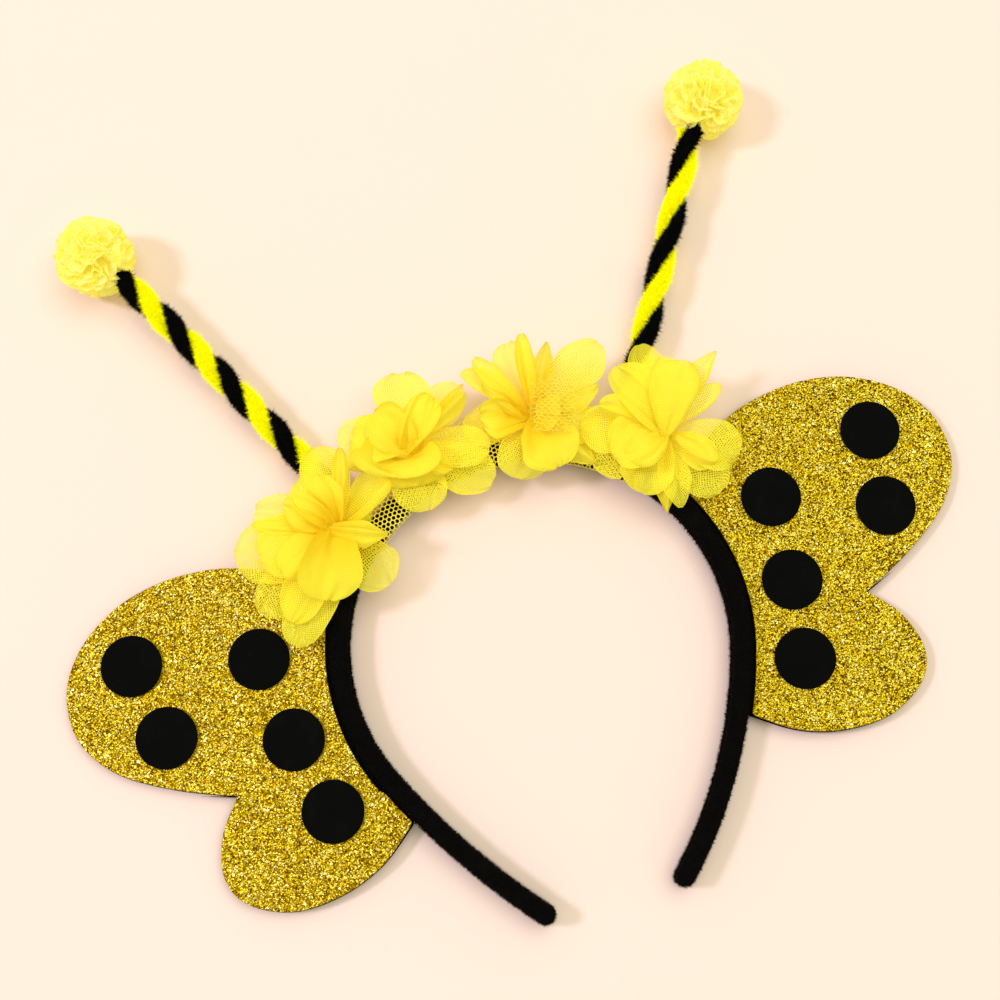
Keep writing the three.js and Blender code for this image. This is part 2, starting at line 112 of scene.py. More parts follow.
class Tree:
    """The nodes of one material."""

    def __init__(self, name: str) -> None:
        """Starts a material with an empty tree.

        Args:
            name: the material's name.
        """
        self.material = bpy.data.materials.new(name)
        self.material.use_nodes = True
        self.nodes = self.material.node_tree.nodes
        self.links = self.material.node_tree.links
        self.nodes.clear()

    def node(self, kind: str, settings: dict | None = None, sockets: dict | None = None) -> bpy.types.Node:
        """Adds a node.

        Args:
            kind: Blender's name for the type.
            settings: its settings, set first; "stops" fills a colour ramp.
            sockets: what each input holds or is linked to, by name or place.

        Returns:
            The node.
        """
        node = self.nodes.new(kind)
        for key, value in (settings or {}).items():
            if key == "stops":
                ramp = node.color_ramp
                while len(ramp.elements) < len(value):
                    ramp.elements.new(1.0)
                for element, (place, colour) in zip(ramp.elements, value):
                    element.position, element.color = place, colour
            else:
                setattr(node, key, value)
        for key, value in (sockets or {}).items():
            if isinstance(value, Value):
                self.links.new(value.socket, node.inputs[key])
            elif isinstance(value, bpy.types.NodeSocket):
                self.links.new(value, node.inputs[key])
            else:
                node.inputs[key].default_value = value
        return node

    def math(self, operation: str, *terms: Value | float) -> Value:
        """A Math node's result."""
        node = self.node("ShaderNodeMath", {"operation": operation}, dict(enumerate(terms)))
        return Value(self, node.outputs[0])

    def blend(self, share: Feed, first: Feed, second: Feed) -> bpy.types.NodeSocket:
        """Two colours mixed by a share.

        Args:
            share: 0 gives the first colour and 1 the second.
            first: the first colour.
            second: the second colour.

        Returns:
            The colour socket.
        """
        sockets = {0: share, 6: first, 7: second}
        return self.node("ShaderNodeMix", {"data_type": "RGBA"}, sockets).outputs[2]

    def ramp(self, share: Feed, stops: Sequence[tuple[float, Colour]]) -> bpy.types.NodeSocket:
        """A colour ramp read at a share."""
        return self.node("ShaderNodeValToRGB", {"stops": stops}, {"Fac": share}).outputs["Color"]

    def place(self) -> bpy.types.NodeSocket:
        """Object coordinates in millimetres."""
        where = self.node("ShaderNodeTexCoord").outputs["Object"]
        scale = {"Vector": where, "Scale": (1 / MM,) * 3}
        return self.node("ShaderNodeMapping", {}, scale).outputs["Vector"]

    def cloth(self) -> tuple[Value, Value]:
        """Millimetres across and along the cloth, from the piece's own UV map."""
        where = self.node("ShaderNodeTexCoord").outputs["UV"]
        split = self.node("ShaderNodeSeparateXYZ", {}, {0: where})
        return Value(self, split.outputs[0]) * 1000.0, Value(self, split.outputs[1]) * 1000.0

    def tag(self, name: str) -> Value:
        """A number that the mesh carries at its vertices."""
        return Value(self, self.node("ShaderNodeAttribute", {"attribute_name": name}).outputs["Fac"])

    def noise(self, where: Feed, length: float, detail: float = 2.0) -> Value:
        """Smooth noise from 0 to 1.

        Args:
            where: the vector that it is read at, in millimetres.
            length: about how far apart its features are.
            detail: how many finer layers it has.

        Returns:
            Its value.
        """
        sockets = {"Vector": where, "Scale": 1 / length, "Detail": detail}
        return Value(self, self.node("ShaderNodeTexNoise", {}, sockets).outputs[0])

    def cells(self, where: Feed, length: float) -> tuple[Value, Value, bpy.types.NodeSocket, bpy.types.NodeSocket]:
        """Random cells.

        Args:
            where: the vector that they are read at, in millimetres.
            length: about how far apart they are.

        Returns:
            The distance from the cell's centre, a number, the colour and the centre.
        """
        node = self.node("ShaderNodeTexVoronoi", {}, {"Vector": where, "Scale": 1 / length})
        parts = self.node("ShaderNodeSeparateColor", {}, {0: node.outputs["Color"]})
        return (Value(self, node.outputs["Distance"]), Value(self, parts.outputs[0]),
                node.outputs["Color"], node.outputs["Position"])

    def bump(self, height: Feed, depth: float) -> bpy.types.NodeSocket:
        """A normal from a height of 0 to 1 that stands for a depth in millimetres."""
        sockets = {"Height": height, "Distance": depth * MM, "Strength": 1.0}
        return self.node("ShaderNodeBump", {}, sockets).outputs["Normal"]

    def shader(self, kind: str, **sockets: Feed) -> bpy.types.NodeSocket:
        """A shader; a word's underscores stand for the spaces in a socket's name."""
        named = {key.replace("_", " "): value for key, value in sockets.items()}
        return self.node(kind, {}, named).outputs[0]

    def finish(self, surface: bpy.types.NodeSocket) -> bpy.types.Material:
        """Links the surface to the output and returns the material."""
        self.node("ShaderNodeOutputMaterial", {}, {"Surface": surface})
        return self.material


PRINCIPLED = "ShaderNodeBsdfPrincipled"


# Finishes


@dataclass(frozen=True)
class Flock:
    """Black velvet or felt: matt, with short nap and a little lint."""

    name: str
    deep: Colour
    lint: Colour
    nap: float
    depth: float

    def material(self) -> bpy.types.Material:
        """Makes the material.

        Returns:
            The material.
        """
        tree = Tree(self.name)
        where = tree.place()
        nap = tree.noise(where, self.nap, 4.0)
        cloud = tree.noise(where, self.nap * 16, 2.0)
        speck = tree.noise(where, self.nap * 2.2, 3.0).smooth(0.66, 0.8)
        base = tree.blend(speck * 0.5 + (nap * cloud).smooth(0.2, 0.6) * 0.4, self.deep, self.lint)
        surface = tree.shader(
            PRINCIPLED, Base_Color=base, Roughness=nap * 0.1 + 0.88, Specular_IOR_Level=0.04,
            Normal=tree.bump(nap, self.depth),
        )
        return tree.finish(surface)


@dataclass(frozen=True)
class Glitter:
    """A sheet closely set with small gold flakes that lie at random tilts."""

    name: str = "gold_glitter"
    flake: float = 0.36
    coarse: float = 0.58
    rarity: float = 0.92

    def tilt(self, tree: Tree, where: Feed, length: float) -> tuple[Value, Value, Value]:
        """Flakes of one size.

        Args:
            tree: the material's tree.
            where: the vector that they are read at.
            length: about how wide a flake is.

        Returns:
            A flake's own number, the slope across it and the distance from its middle.
        """
        distance, own, colour, centre = tree.cells(where, length)
        away = tree.node("ShaderNodeVectorMath", {"operation": "SUBTRACT"}, {
            0: tree.node("ShaderNodeVectorMath", {"operation": "SCALE"}, {0: where, 3: 1 / length}).outputs[0],
            1: tree.node("ShaderNodeVectorMath", {"operation": "SCALE"}, {0: centre, 3: 1 / length}).outputs[0],
        }).outputs[0]
        lean = tree.node("ShaderNodeVectorMath", {"operation": "SUBTRACT"}, {0: colour, 1: (0.5, 0.5, 0.5)})
        slope = tree.node("ShaderNodeVectorMath", {"operation": "DOT_PRODUCT"}, {0: away, 1: lean.outputs[0]})
        return own, Value(tree, slope.outputs["Value"]), distance

    def material(self) -> bpy.types.Material:
        """Makes the material.

        Returns:
            The material.
        """
        tree = Tree(self.name)
        where = tree.place()
        own, slope, distance = self.tilt(tree, where, self.flake)
        big, big_slope, _ = self.tilt(tree, where, self.coarse)
        stray = big.smooth(self.rarity, self.rarity + 0.02)
        patch = tree.noise(where, 9.0, 2.0)
        # The flake colours run from near black to pale gold. They are real gold tones that vary at random, with
        # painted shade on the darkest flakes and painted glints on the palest. The big stray flakes run up to the
        # same painted glint.
        tone = own * 0.92 + patch * 0.12 + 0.03
        flakes = tree.ramp(tone, [
            (0.0, (0.03, 0.011, 0.0, 1)), (0.2, (0.13, 0.053, 0.0, 1)), (0.4, (0.34, 0.178, 0.0, 1)),
            (0.62, (0.68, 0.44, 0.002, 1)), (0.82, (1.0, 0.75, 0.02, 1)), (0.94, (1.0, 0.9, 0.13, 1)),
            (1.0, (1.0, 0.96, 0.36, 1)),
        ])
        strays = tree.ramp((big - self.rarity) * (1 / (1 - self.rarity)), [
            (0.0, (0.3, 0.17, 0.0, 1)), (0.55, (0.62, 0.42, 0.01, 1)), (0.8, (1.0, 0.86, 0.18, 1)),
            (1.0, (1.0, 0.97, 0.5, 1)),
        ])
        gaps = distance.smooth(0.34, 0.62) * 0.5
        base = tree.blend(gaps, tree.blend(stray, flakes, strays), (0.045, 0.024, 0.001, 1))
        height = slope * (1 - stray) + big_slope * stray
        surface = tree.shader(
            PRINCIPLED, Base_Color=base, Metallic=0.62, Roughness=own * 0.2 + 0.3, Specular_IOR_Level=0.0,
            Normal=tree.bump(height, self.flake * 0.55),
        )
        return tree.finish(surface)


@dataclass(frozen=True)
class Fibre:
    """Fine fibres with painted shade at the root, deep in the pile; the tag "tip" runs from 0 to 1."""

    name: str
    root: Colour
    tip: Colour
    painted_glow: float = 0.0

    def material(self) -> bpy.types.Material:
        """Makes the material.

        Returns:
            The material.
        """
        tree = Tree(self.name)
        # Painted shade: each fibre darkens from its tip to its root, deep in the pile; a piece without tips takes the
        # root colour all over.
        base = tree.blend(tree.tag("tip").smooth(0.0, 0.8), self.root, self.tip)
        shade = tree.blend(tree.tag("tone") * 0.35, base, self.root)
        # Painted glow: the fibres also give off their own colour, brightening the pile.
        skin = tree.shader(
            PRINCIPLED, Base_Color=shade, Roughness=0.85, Specular_IOR_Level=0.05,
            Emission_Color=shade, Emission_Strength=self.painted_glow,
        )
        back = tree.shader("ShaderNodeBsdfTranslucent", Color=shade)
        return tree.finish(tree.node("ShaderNodeMixShader", {}, {0: 0.3, 1: skin, 2: back}).outputs[0])


@dataclass(frozen=True)
class Gauze:
    """Thin woven or netted cloth that lets light and some of what is behind it through."""

    name: str
    front: Colour
    through: Colour
    across: float
    along: float
    cover: float
    hole: float
    glow: float
    painted_glow: float = 0.04
    clear: Colour = (1.0, 0.98, 0.8, 1)
    relief: float = 0.35

    def material(self) -> bpy.types.Material:
        """Makes the material.

        Returns:
            The material.
        """
        tree = Tree(self.name)
        across, along = tree.cloth()
        where = tree.place()
        drift = tree.noise(where, 5.0, 2.0)
        sheer = tree.tag("sheer")
        shift = drift * 2.2
        open_weave = 1 - sheer * 0.34
        over = (across * open_weave + shift) / self.across
        under = along * open_weave / self.along
        warp, weft = (over + under).wave(1.0), (over - under).wave(1.0)
        gap = warp.smooth(0.35, 0.8) * weft.smooth(0.35, 0.8)
        rim = 1 - tree.tag("rim").smooth(0.12, 0.4)
        cover = self.cover + drift * 0.1 - 0.05 - gap * self.hole * (sheer + 0.2) - sheer * 0.2 + rim * 0.25
        # Painted shade: the colour deepens to orange toward each root, where petals cup and crowd, and along every
        # edge as a shaded outline; random mottling on thicker cloth and the weave's holes deepen it a little too.
        depth = tree.tag("root").smooth(0.25, 1.0) * 0.76 + (1 - sheer) * drift * 0.16 + gap * 0.12 + rim * 0.24
        front = tree.blend(depth, self.front, self.through)
        normal = tree.bump((warp + weft) * 0.12 + tree.noise(where, 2.6, 2.0), self.relief)
        # Painted glow: the cloth gives off its own colour, most where it is sheer, so that petals lying in shade stay
        # bright.
        lift = tree.blend(sheer * 0.75 + 0.25, (0.0, 0.0, 0.0, 1), front)
        skin = tree.shader(
            PRINCIPLED, Base_Color=front, Roughness=0.72, Specular_IOR_Level=0.18,
            Emission_Color=lift, Emission_Strength=self.painted_glow, Normal=normal,
        )
        back = tree.shader("ShaderNodeBsdfTranslucent", Color=self.through, Normal=normal)
        lit = tree.node("ShaderNodeMixShader", {}, {0: self.glow, 1: skin, 2: back}).outputs[0]
        clear = tree.shader("ShaderNodeBsdfTransparent", Color=self.clear)
        surface = tree.node("ShaderNodeMixShader", {}, {0: cover, 1: clear, 2: lit}).outputs[0]
        return tree.finish(surface)


@dataclass(frozen=True)
class Plain:
    """A smooth matt surface with faint mottling."""

    name: str
    colour: Colour
    other: Colour
    grain: float
    roughness: float
    clear: float = 0.0

    def material(self) -> bpy.types.Material:
        """Makes the material.

        Returns:
            The material.
        """
        tree = Tree(self.name)
        where = tree.place()
        cloud = tree.noise(where, self.grain, 3.0)
        surface = tree.shader(
            PRINCIPLED, Base_Color=tree.blend(cloud, self.colour, self.other),
            Roughness=cloud * 0.1 + self.roughness, Specular_IOR_Level=0.2, Normal=tree.bump(cloud, 0.02),
        )
        through = tree.shader("ShaderNodeBsdfTransparent", Color=self.colour)
        return tree.finish(tree.node("ShaderNodeMixShader", {}, {0: self.clear, 1: surface, 2: through}).outputs[0])


class Palette:
    """The materials of the headband, each made once."""

    def __init__(self) -> None:
        """Makes them."""
        self.velvet = Flock("black_velvet", (0.0022, 0.0018, 0.0016, 1), (0.009, 0.0075, 0.006, 1),
                            0.35, 0.12).material()
        self.felt = Flock("black_felt", (0.0022, 0.0023, 0.0022, 1), (0.007, 0.007, 0.007, 1),
                          0.5, 0.1).material()
        # Fibres are painted darker at the root as shade deep in the pile, so the chenille cores, which have no tips,
        # take the shaded root colour.
        self.nap = Fibre("velvet_nap", (0.003, 0.0025, 0.002, 1), (0.007, 0.006, 0.005, 1)).material()
        self.glitter = Glitter().material()
        self.black_core = Fibre("black_chenille_core", (0.003, 0.003, 0.003, 1),
                                (0.006, 0.006, 0.006, 1)).material()
        self.black_pile = Fibre("black_chenille", (0.002, 0.002, 0.002, 1), (0.006, 0.006, 0.005, 1)).material()
        self.yellow_core = Fibre("yellow_chenille_core", (0.8, 0.78, 0.0, 1), (0.85, 0.86, 0.002, 1),
                                 0.15).material()
        self.yellow_pile = Fibre("yellow_chenille", (0.9, 0.86, 0.0, 1), (1.0, 1.0, 0.006, 1), 0.3).material()
        # The chiffon and tulle are painted a deeper orange toward each root and along each edge as shade, and both
        # carry a painted glow.
        self.chiffon = Gauze("yellow_chiffon", (1.0, 0.95, 0.06, 1), (1.0, 0.73, 0.008, 1), across=0.75,
                             along=0.7, cover=0.98, hole=0.75, glow=0.3, painted_glow=0.16).material()
        self.tulle = Gauze("pompom_tulle", (1.0, 0.99, 0.42, 1), (1.0, 0.94, 0.16, 1), across=1.6,
                           along=1.2, cover=0.88, hole=0.3, glow=0.42, painted_glow=0.35).material()
        self.kernel = Plain("pompom_kernel", (1.0, 0.88, 0.14, 1), (1.0, 0.93, 0.2, 1), 2.0, 0.8,
                            clear=0.35).material()
        # The knot is painted the petals' deep orange: the tone of many gathered layers, together with painted shade
        # at the flower's heart.
        self.knot = Plain("flower_knot", (1.0, 0.7, 0.008, 1), (1.0, 0.78, 0.015, 1), 2.0, 0.8).material()
        self.net = Plain("yellow_net", (0.98, 0.84, 0.05, 1), (1.0, 0.89, 0.12, 1), 3.0, 0.6).material()
        self.floor = Plain("cream_floor", (0.93, 0.72, 0.65, 1), (0.935, 0.726, 0.656, 1), 60.0, 0.8).material()


# Mesh tools


def smoothstep(value: float) -> float:
    """0 below 0, 1 above 1, and a smooth rise between them."""
    share = min(max(value, 0.0), 1.0)
    return share * share * (3 - 2 * share)


def spline(points: Sequence[Vector], count: int) -> list[Vector]:
    """Points along a smooth curve through some others.

    Args:
        points: what it passes through.
        count: how many steps it is cut into.

    Returns:
        count + 1 points.
    """
    last = len(points) - 1
    made = []
    for i in range(count + 1):
        place = last * i / count
        k = min(int(place), last - 1)
        t = place - k
        p0, p1 = points[max(k - 1, 0)], points[k]
        p2, p3 = points[k + 1], points[min(k + 2, last)]
        v0, v1 = (p2 - p0) * 0.5, (p3 - p1) * 0.5
        made.append((2 * p1 - 2 * p2 + v0 + v1) * t**3 + (-3 * p1 + 3 * p2 - 2 * v0 - v1) * t**2 + v0 * t + p1)
    return made


def finished(name: str, bm: bmesh.types.BMesh, material: bpy.types.Material,
             replaces: Iterable[str] = (), flat: bool = False) -> bpy.types.Object:
    """Turns a bmesh in millimetres into a piece that rides on the headband.

    Args:
        name: the piece's name.
        bm: its shape, which is freed.
        material: its finish.
        replaces: the CAD nodes that it stands for.
        flat: True keeps the faces flat shaded.

    Returns:
        The piece.
    """
    bm.transform(Matrix.Scale(MM, 4))
    mesh = bpy.data.meshes.new(name)
    bm.to_mesh(mesh)
    bm.free()
    return settled(name, mesh, material, replaces, flat)


def settled(name: str, mesh: bpy.types.Mesh, material: bpy.types.Material,
            replaces: Iterable[str] = (), flat: bool = False) -> bpy.types.Object:
    """Puts a mesh in metres into the scene as a piece.

    Args:
        name: the piece's name.
        mesh: its mesh.
        material: its finish.
        replaces: the CAD nodes that it stands for.
        flat: True keeps the faces flat shaded.

    Returns:
        The piece.
    """
    mesh.materials.append(material)
    mesh.polygons.foreach_set("use_smooth", [not flat] * len(mesh.polygons))
    piece = bpy.data.objects.new(name, mesh)
    bpy.context.scene.collection.objects.link(piece)
    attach(piece, "root")
    if replaces:
        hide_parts(*replaces)
    return piece


def refine(piece: bpy.types.Object, levels: int = 1) -> bpy.types.Object:
    """Adds a subdivision surface.

    Args:
        piece: what it is added to.
        levels: how many times each face is cut in four.

    Returns:
        The piece.
    """
    modifier = piece.modifiers.new("smooth", "SUBSURF")
    modifier.levels = modifier.render_levels = levels
    return piece


def ordered(bm: bmesh.types.BMesh) -> bmesh.types.BMesh:
    """Gives a shape's points and faces an order that is the same in each run.

    Args:
        bm: the shape, which is freed.

    Returns:
        The same shape, sorted by place.
    """
    places = {vert: tuple(vert.co) for vert in bm.verts}
    numbers = {place: number for number, place in enumerate(sorted(places.values()))}
    rings = []
    for face in bm.faces:
        ring = [numbers[places[vert]] for vert in face.verts]
        start = ring.index(min(ring))
        rings.append(ring[start:] + ring[:start])
    bm.free()
    made = bmesh.new()
    verts = [made.verts.new(place) for place in numbers]
    for ring in sorted(rings):
        made.faces.new([verts[number] for number in ring])
    return made


Surface = Callable[[float, float], Vector]


def slab(bm: bmesh.types.BMesh, thickness: float, edge: float) -> None:
    """Thickens a flat shape upwards and rounds its edges.

    Args:
        bm: what holds the shape and nothing else.
        thickness: of the slab.
        edge: how far its edges are rounded.
    """
    raised = bmesh.ops.extrude_face_region(bm, geom=list(bm.faces))["geom"]
    lifted = [item for item in raised if isinstance(item, bmesh.types.BMVert)]
    bmesh.ops.translate(bm, vec=(0, 0, thickness), verts=lifted)
    bmesh.ops.recalc_face_normals(bm, faces=bm.faces)
    rims = [e for e in bm.edges if abs(e.verts[0].co.z - e.verts[1].co.z) < 1e-6]
    bmesh.ops.bevel(bm, geom=rims, offset=edge, offset_type="OFFSET", affect="EDGES", segments=2,
                    profile=0.5, material=-1)


def patch(bm: bmesh.types.BMesh, columns: int, rows: int, surface: Surface,
          size: tuple[float, float], sheer: float = 0.0, turn: float = 0.0,
          hollow: float = 1.0) -> list[bmesh.types.BMVert]:
    """Adds a grid that lies on a surface, with its cloth coordinates.

    Args:
        bm: what it is added to.
        columns: cells across.
        rows: cells along.
        surface: gives the point at a share across and a share along, each from 0 to 1.
        size: width and length of the cloth.
        sheer: how much the cloth lets through, from 0 to 1.
        turn: how far the weave is turned against the patch, in radians.
        hollow: how far out the painted shade at the root reaches.

    Returns:
        Its vertices.
    """
    sheet = bm.loops.layers.uv.get("UVMap") or bm.loops.layers.uv.new("UVMap")
    rim = bm.verts.layers.float.get("rim") or bm.verts.layers.float.new("rim")
    sheers = bm.verts.layers.float.get("sheer") or bm.verts.layers.float.new("sheer")
    roots = bm.verts.layers.float.get("root") or bm.verts.layers.float.new("root")
    grid = bmesh.ops.create_grid(bm, x_segments=columns, y_segments=rows, size=0.5)["verts"]
    shares = {}
    for vert in grid:
        across, along = vert.co.x + 0.5, vert.co.y + 0.5
        shares[vert] = (across * size[0], along * size[1])
        vert[rim] = min(across * size[0], (1 - across) * size[0], (1 - along) * size[1])
        vert[sheers] = sheer
        vert[roots] = min((1 - along) * hollow, 1)
        vert.co = surface(across, along)
    weave = Matrix.Rotation(turn, 2)
    for face in {face for vert in grid for face in vert.link_faces}:
        for loop in face.loops:
            loop[sheet].uv = weave @ Vector(shares[loop.vert]) * MM
    return grid


def tube(bm: bmesh.types.BMesh, line: Callable[[float], Vector], outward: Callable[[float], Vector],
         radii: tuple[float, float], sides: int, steps: int) -> None:
    """Adds a closed tube with an oval section along a line.

    Args:
        bm: what it is added to.
        line: gives the point at a share of its length.
        outward: gives the way that the oval's first radius points there.
        radii: the oval's radii, outward and across.
        sides: round the tube.
        steps: along it.
    """
    def skin(across: float, along: float) -> Vector:
        """The tube's surface.

        Args:
            across: share of the way round.
            along: share of the length.

        Returns:
            The point there.
        """
        ahead = (line(min(along + 0.004, 1)) - line(max(along - 0.004, 0))).normalized()
        side = ahead.cross(outward(along)).normalized()
        angle = 2 * math.pi * across
        out = side.cross(ahead) * (radii[0] * math.cos(angle))
        return line(along) + out + side * (radii[1] * math.sin(angle))

    grid = patch(bm, sides, steps, skin, (2 * math.pi * radii[0], 1.0))
    bmesh.ops.remove_doubles(bm, verts=grid, dist=1e-3)
    rims = [edge for edge in bm.edges if edge.is_boundary]
    bmesh.ops.holes_fill(bm, edges=rims, sides=sides + 1)
    bmesh.ops.recalc_face_normals(bm, faces=bm.faces)


@dataclass(frozen=True)
class Pile:
    """Short fibres that stand on a surface, each a slim blade."""

    density: float
    length: float
    width: float
    lean: float
    seed: int

    def grow(self, name: str, ground: bpy.types.Object, material: bpy.types.Material, slot: str) -> bpy.types.Object:
        """Makes the fibres as one mesh.

        Args:
            name: the piece's name.
            ground: the piece that they stand on.
            material: their finish.
            slot: not used.

        Returns:
            The piece.
        """
        rng = np.random.default_rng(self.seed)
        mesh = ground.data
        mesh.calc_loop_triangles()
        points = np.array([vert.co for vert in mesh.vertices]) / MM
        corners = points[np.array([tri.vertices for tri in mesh.loop_triangles])]
        normals = np.cross(corners[:, 1] - corners[:, 0], corners[:, 2] - corners[:, 0])
        areas = np.linalg.norm(normals, axis=1) / 2
        count = int(areas.sum() * self.density)
        chosen = rng.choice(len(corners), count, p=areas / areas.sum())
        share = np.sqrt(rng.random((count, 1))), rng.random((count, 1))
        a, b, c = (corners[chosen, i] for i in range(3))
        foot = a * (1 - share[0]) + (b * (1 - share[1]) + c * share[1]) * share[0]
        normal = normals[chosen] / (2 * areas[chosen, None])
        stand = normal + self.lean * rng.normal(size=(count, 3))
        stand /= np.linalg.norm(stand, axis=1, keepdims=True)
        side = np.cross(stand, rng.normal(size=(count, 3)))
        side *= self.width / 2 / np.linalg.norm(side, axis=1, keepdims=True)
        tip = foot + stand * self.length * rng.uniform(0.35, 1.2, (count, 1))
        sunk = normal * 0.05
        blades = np.stack([foot - side - sunk, foot + side - sunk, tip], axis=1).reshape(-1, 3) * MM
        pile = bpy.data.meshes.new(name)
        pile.from_pydata(blades.tolist(), [], np.arange(3 * count).reshape(-1, 3).tolist())
        for tag, values in (("tip", np.tile([0.0, 0.0, 1.0], count)), ("tone", np.repeat(rng.random(count), 3))):
            pile.attributes.new(tag, "FLOAT", "POINT").data.foreach_set("value", values.astype(np.float32))
        return settled(name, pile, material, flat=True)


# The band's line


@dataclass(frozen=True)
class ArmRun:
    """One arm: the crown's turn where it starts, its own bend and its reach."""

    side: int
    turn: float
    bend: float
    reach: float


@dataclass(frozen=True)
class BandLine:
    """The band's centreline in plan, with stations measured from the apex."""

    centre: Vector = field(default_factory=lambda: Vector((1.0462, -42.4457)))
    crown_radius: float = 58.2
    arm_length: float = 67.5
    thickness: float = 5.2
    width: float = 10.0
    left: ArmRun = ArmRun(-1, 117, 3.76, 0.85)
    right: ArmRun = ArmRun(1, 107, 2.33, 1.0)

    def station(self, degrees: float) -> float:
        """Length along the crown from the apex."""
        return self.crown_radius * math.radians(degrees)

    def heading(self, arm: ArmRun) -> float:
        """How far an arm has turned at its tip, in radians."""
        return math.radians(arm.turn) + self.arm_length * arm.reach / (self.crown_radius * arm.bend)

    def bend_centre(self, arm: ArmRun) -> Vector:
        """The point that an arm bends about.

        Args:
            arm: which arm.

        Returns:
            The point in plan.
        """
        turn = math.radians(arm.turn)
        shift = self.crown_radius * (1 - arm.bend)
        return self.centre + Vector((arm.side * math.sin(turn), math.cos(turn))) * shift

    def beside(self, station: float, offset: float) -> tuple[Vector, float]:
        """A point beside the centreline.

        Args:
            station: signed length from the apex, right positive.
            offset: outwards from the centreline.

        Returns:
            The point in plan and the band's heading there in radians.
        """
        arm = self.left if station < 0 else self.right
        side = -1 if station < 0 else 1
        crown_length = self.station(arm.turn)
        length = abs(station)
        if length <= crown_length:
            angle, radius, middle = length / self.crown_radius, self.crown_radius, self.centre
        else:
            radius = self.crown_radius * arm.bend
            angle = math.radians(arm.turn) + (length - crown_length) / radius
            middle = self.bend_centre(arm)
        away = Vector((side * math.sin(angle), math.cos(angle)))
        return middle + away * (radius + offset), side * angle


# Sub-assemblies


@dataclass
class Band:
    """The velvet band: a rounded strip on edge, round at both tips."""

    line: BandLine
    rounding: float = 1.6
    tip_steps: int = 7
    nap: Pile = Pile(4.5, 0.95, 0.2, 0.5, 11)

    def section(self, bm: bmesh.types.BMesh) -> list[bmesh.types.BMEdge]:
        """Adds the band's section across the apex.

        Args:
            bm: what it is added to.

        Returns:
            Its edges.
        """
        grid = bmesh.ops.create_grid(bm, x_segments=1, y_segments=1, size=0.5)
        verts = grid["verts"]
        shape = Matrix.Diagonal((self.line.thickness, self.line.width, 1, 1))
        bmesh.ops.transform(bm, matrix=shape, verts=verts)
        bmesh.ops.bevel(bm, geom=verts, offset=self.rounding, offset_type="OFFSET", affect="VERTICES",
                        segments=6, profile=0.5, material=-1)
        bmesh.ops.subdivide_edges(bm, edges=[e for e in bm.edges if e.calc_length() > 2], cuts=2)
        apex, _ = self.line.beside(0, 0)
        stand = Matrix.Translation((apex.x, apex.y, self.line.width / 2)) @ Matrix.Rotation(math.pi / 2, 4, "Z")
        bmesh.ops.transform(bm, matrix=stand @ Matrix.Rotation(math.pi / 2, 4, "X"), verts=bm.verts)
        bmesh.ops.delete(bm, geom=list(bm.faces), context="FACES_ONLY")
        return list(bm.edges)

    def sweep(self, bm: bmesh.types.BMesh, edges: list[bmesh.types.BMEdge], arm: ArmRun) -> None:
        """Sweeps the section from the apex round one half of the crown, along the arm and round its tip.

        Args:
            bm: what the section is in.
            edges: the section's edges at the apex.
            arm: the arm on that side.
        """
        spin = {"axis": (0, 0, 1), "use_merge": False, "use_duplicate": False}
        rounds = [
            (self.line.centre, math.radians(arm.turn), 70),
            (self.line.bend_centre(arm), self.line.heading(arm) - math.radians(arm.turn), 28),
        ]
        for middle, angle, steps in rounds:
            swept = bmesh.ops.spin(bm, geom=edges, cent=(middle.x, middle.y, 0), angle=-arm.side * angle,
                                   steps=steps, **spin)
            edges = [item for item in swept["geom_last"] if isinstance(item, bmesh.types.BMEdge)]
        heading = self.line.heading(arm)
        ahead = Vector((arm.side * math.cos(heading), -math.sin(heading), 0))
        station = arm.side * (self.line.station(arm.turn) + self.line.arm_length * arm.reach)
        end, _ = self.line.beside(station, 0)
        for step in range(1, self.tip_steps + 1):
            before, now = ((math.pi / 2) * (step - i) / self.tip_steps for i in (1, 0))
            grown = bmesh.ops.extrude_edge_only(bm, edges=edges)["geom"]
            verts = [item for item in grown if isinstance(item, bmesh.types.BMVert)]
            edges = [item for item in grown if isinstance(item, bmesh.types.BMEdge)
                     and all(vert in verts for vert in item.verts)]
            narrow = max(math.cos(now), 0.02) / max(math.cos(before), 0.02)
            place = Vector((end.x, end.y, 0)) + ahead * (math.sin(before) * self.line.thickness / 2)
            turn = Matrix.Rotation(math.atan2(ahead.y, ahead.x), 4, "Z")
            squeeze = turn @ Matrix.Diagonal((1, narrow, 1, 1)) @ turn.inverted()
            forward = ahead * ((math.sin(now) - math.sin(before)) * self.line.thickness / 2)
            bmesh.ops.transform(bm, matrix=Matrix.Translation(place + forward) @ squeeze @ Matrix.Translation(-place),
                                verts=verts)
        bmesh.ops.holes_fill(bm, edges=edges, sides=0)

    def build(self, palette: Palette) -> list[bpy.types.Object]:
        """Makes the band and its nap.

        Args:
            palette: the finishes.

        Returns:
            The pieces.
        """
        bm = bmesh.new()
        first = self.section(bm)
        self.sweep(bm, first, self.line.right)
        self.sweep(bm, first, self.line.left)
        bmesh.ops.remove_doubles(bm, verts=bm.verts, dist=1e-3)
        bmesh.ops.recalc_face_normals(bm, faces=bm.faces)
        body = finished("band_velvet", ordered(bm), palette.velvet, ["band"])
        return [body, self.nap.grow("band_nap", body, palette.nap, "velvet")]


@dataclass(frozen=True)
class Share:
    """A place on a wing: out along its span and up along its height."""

    out: float
    up: float


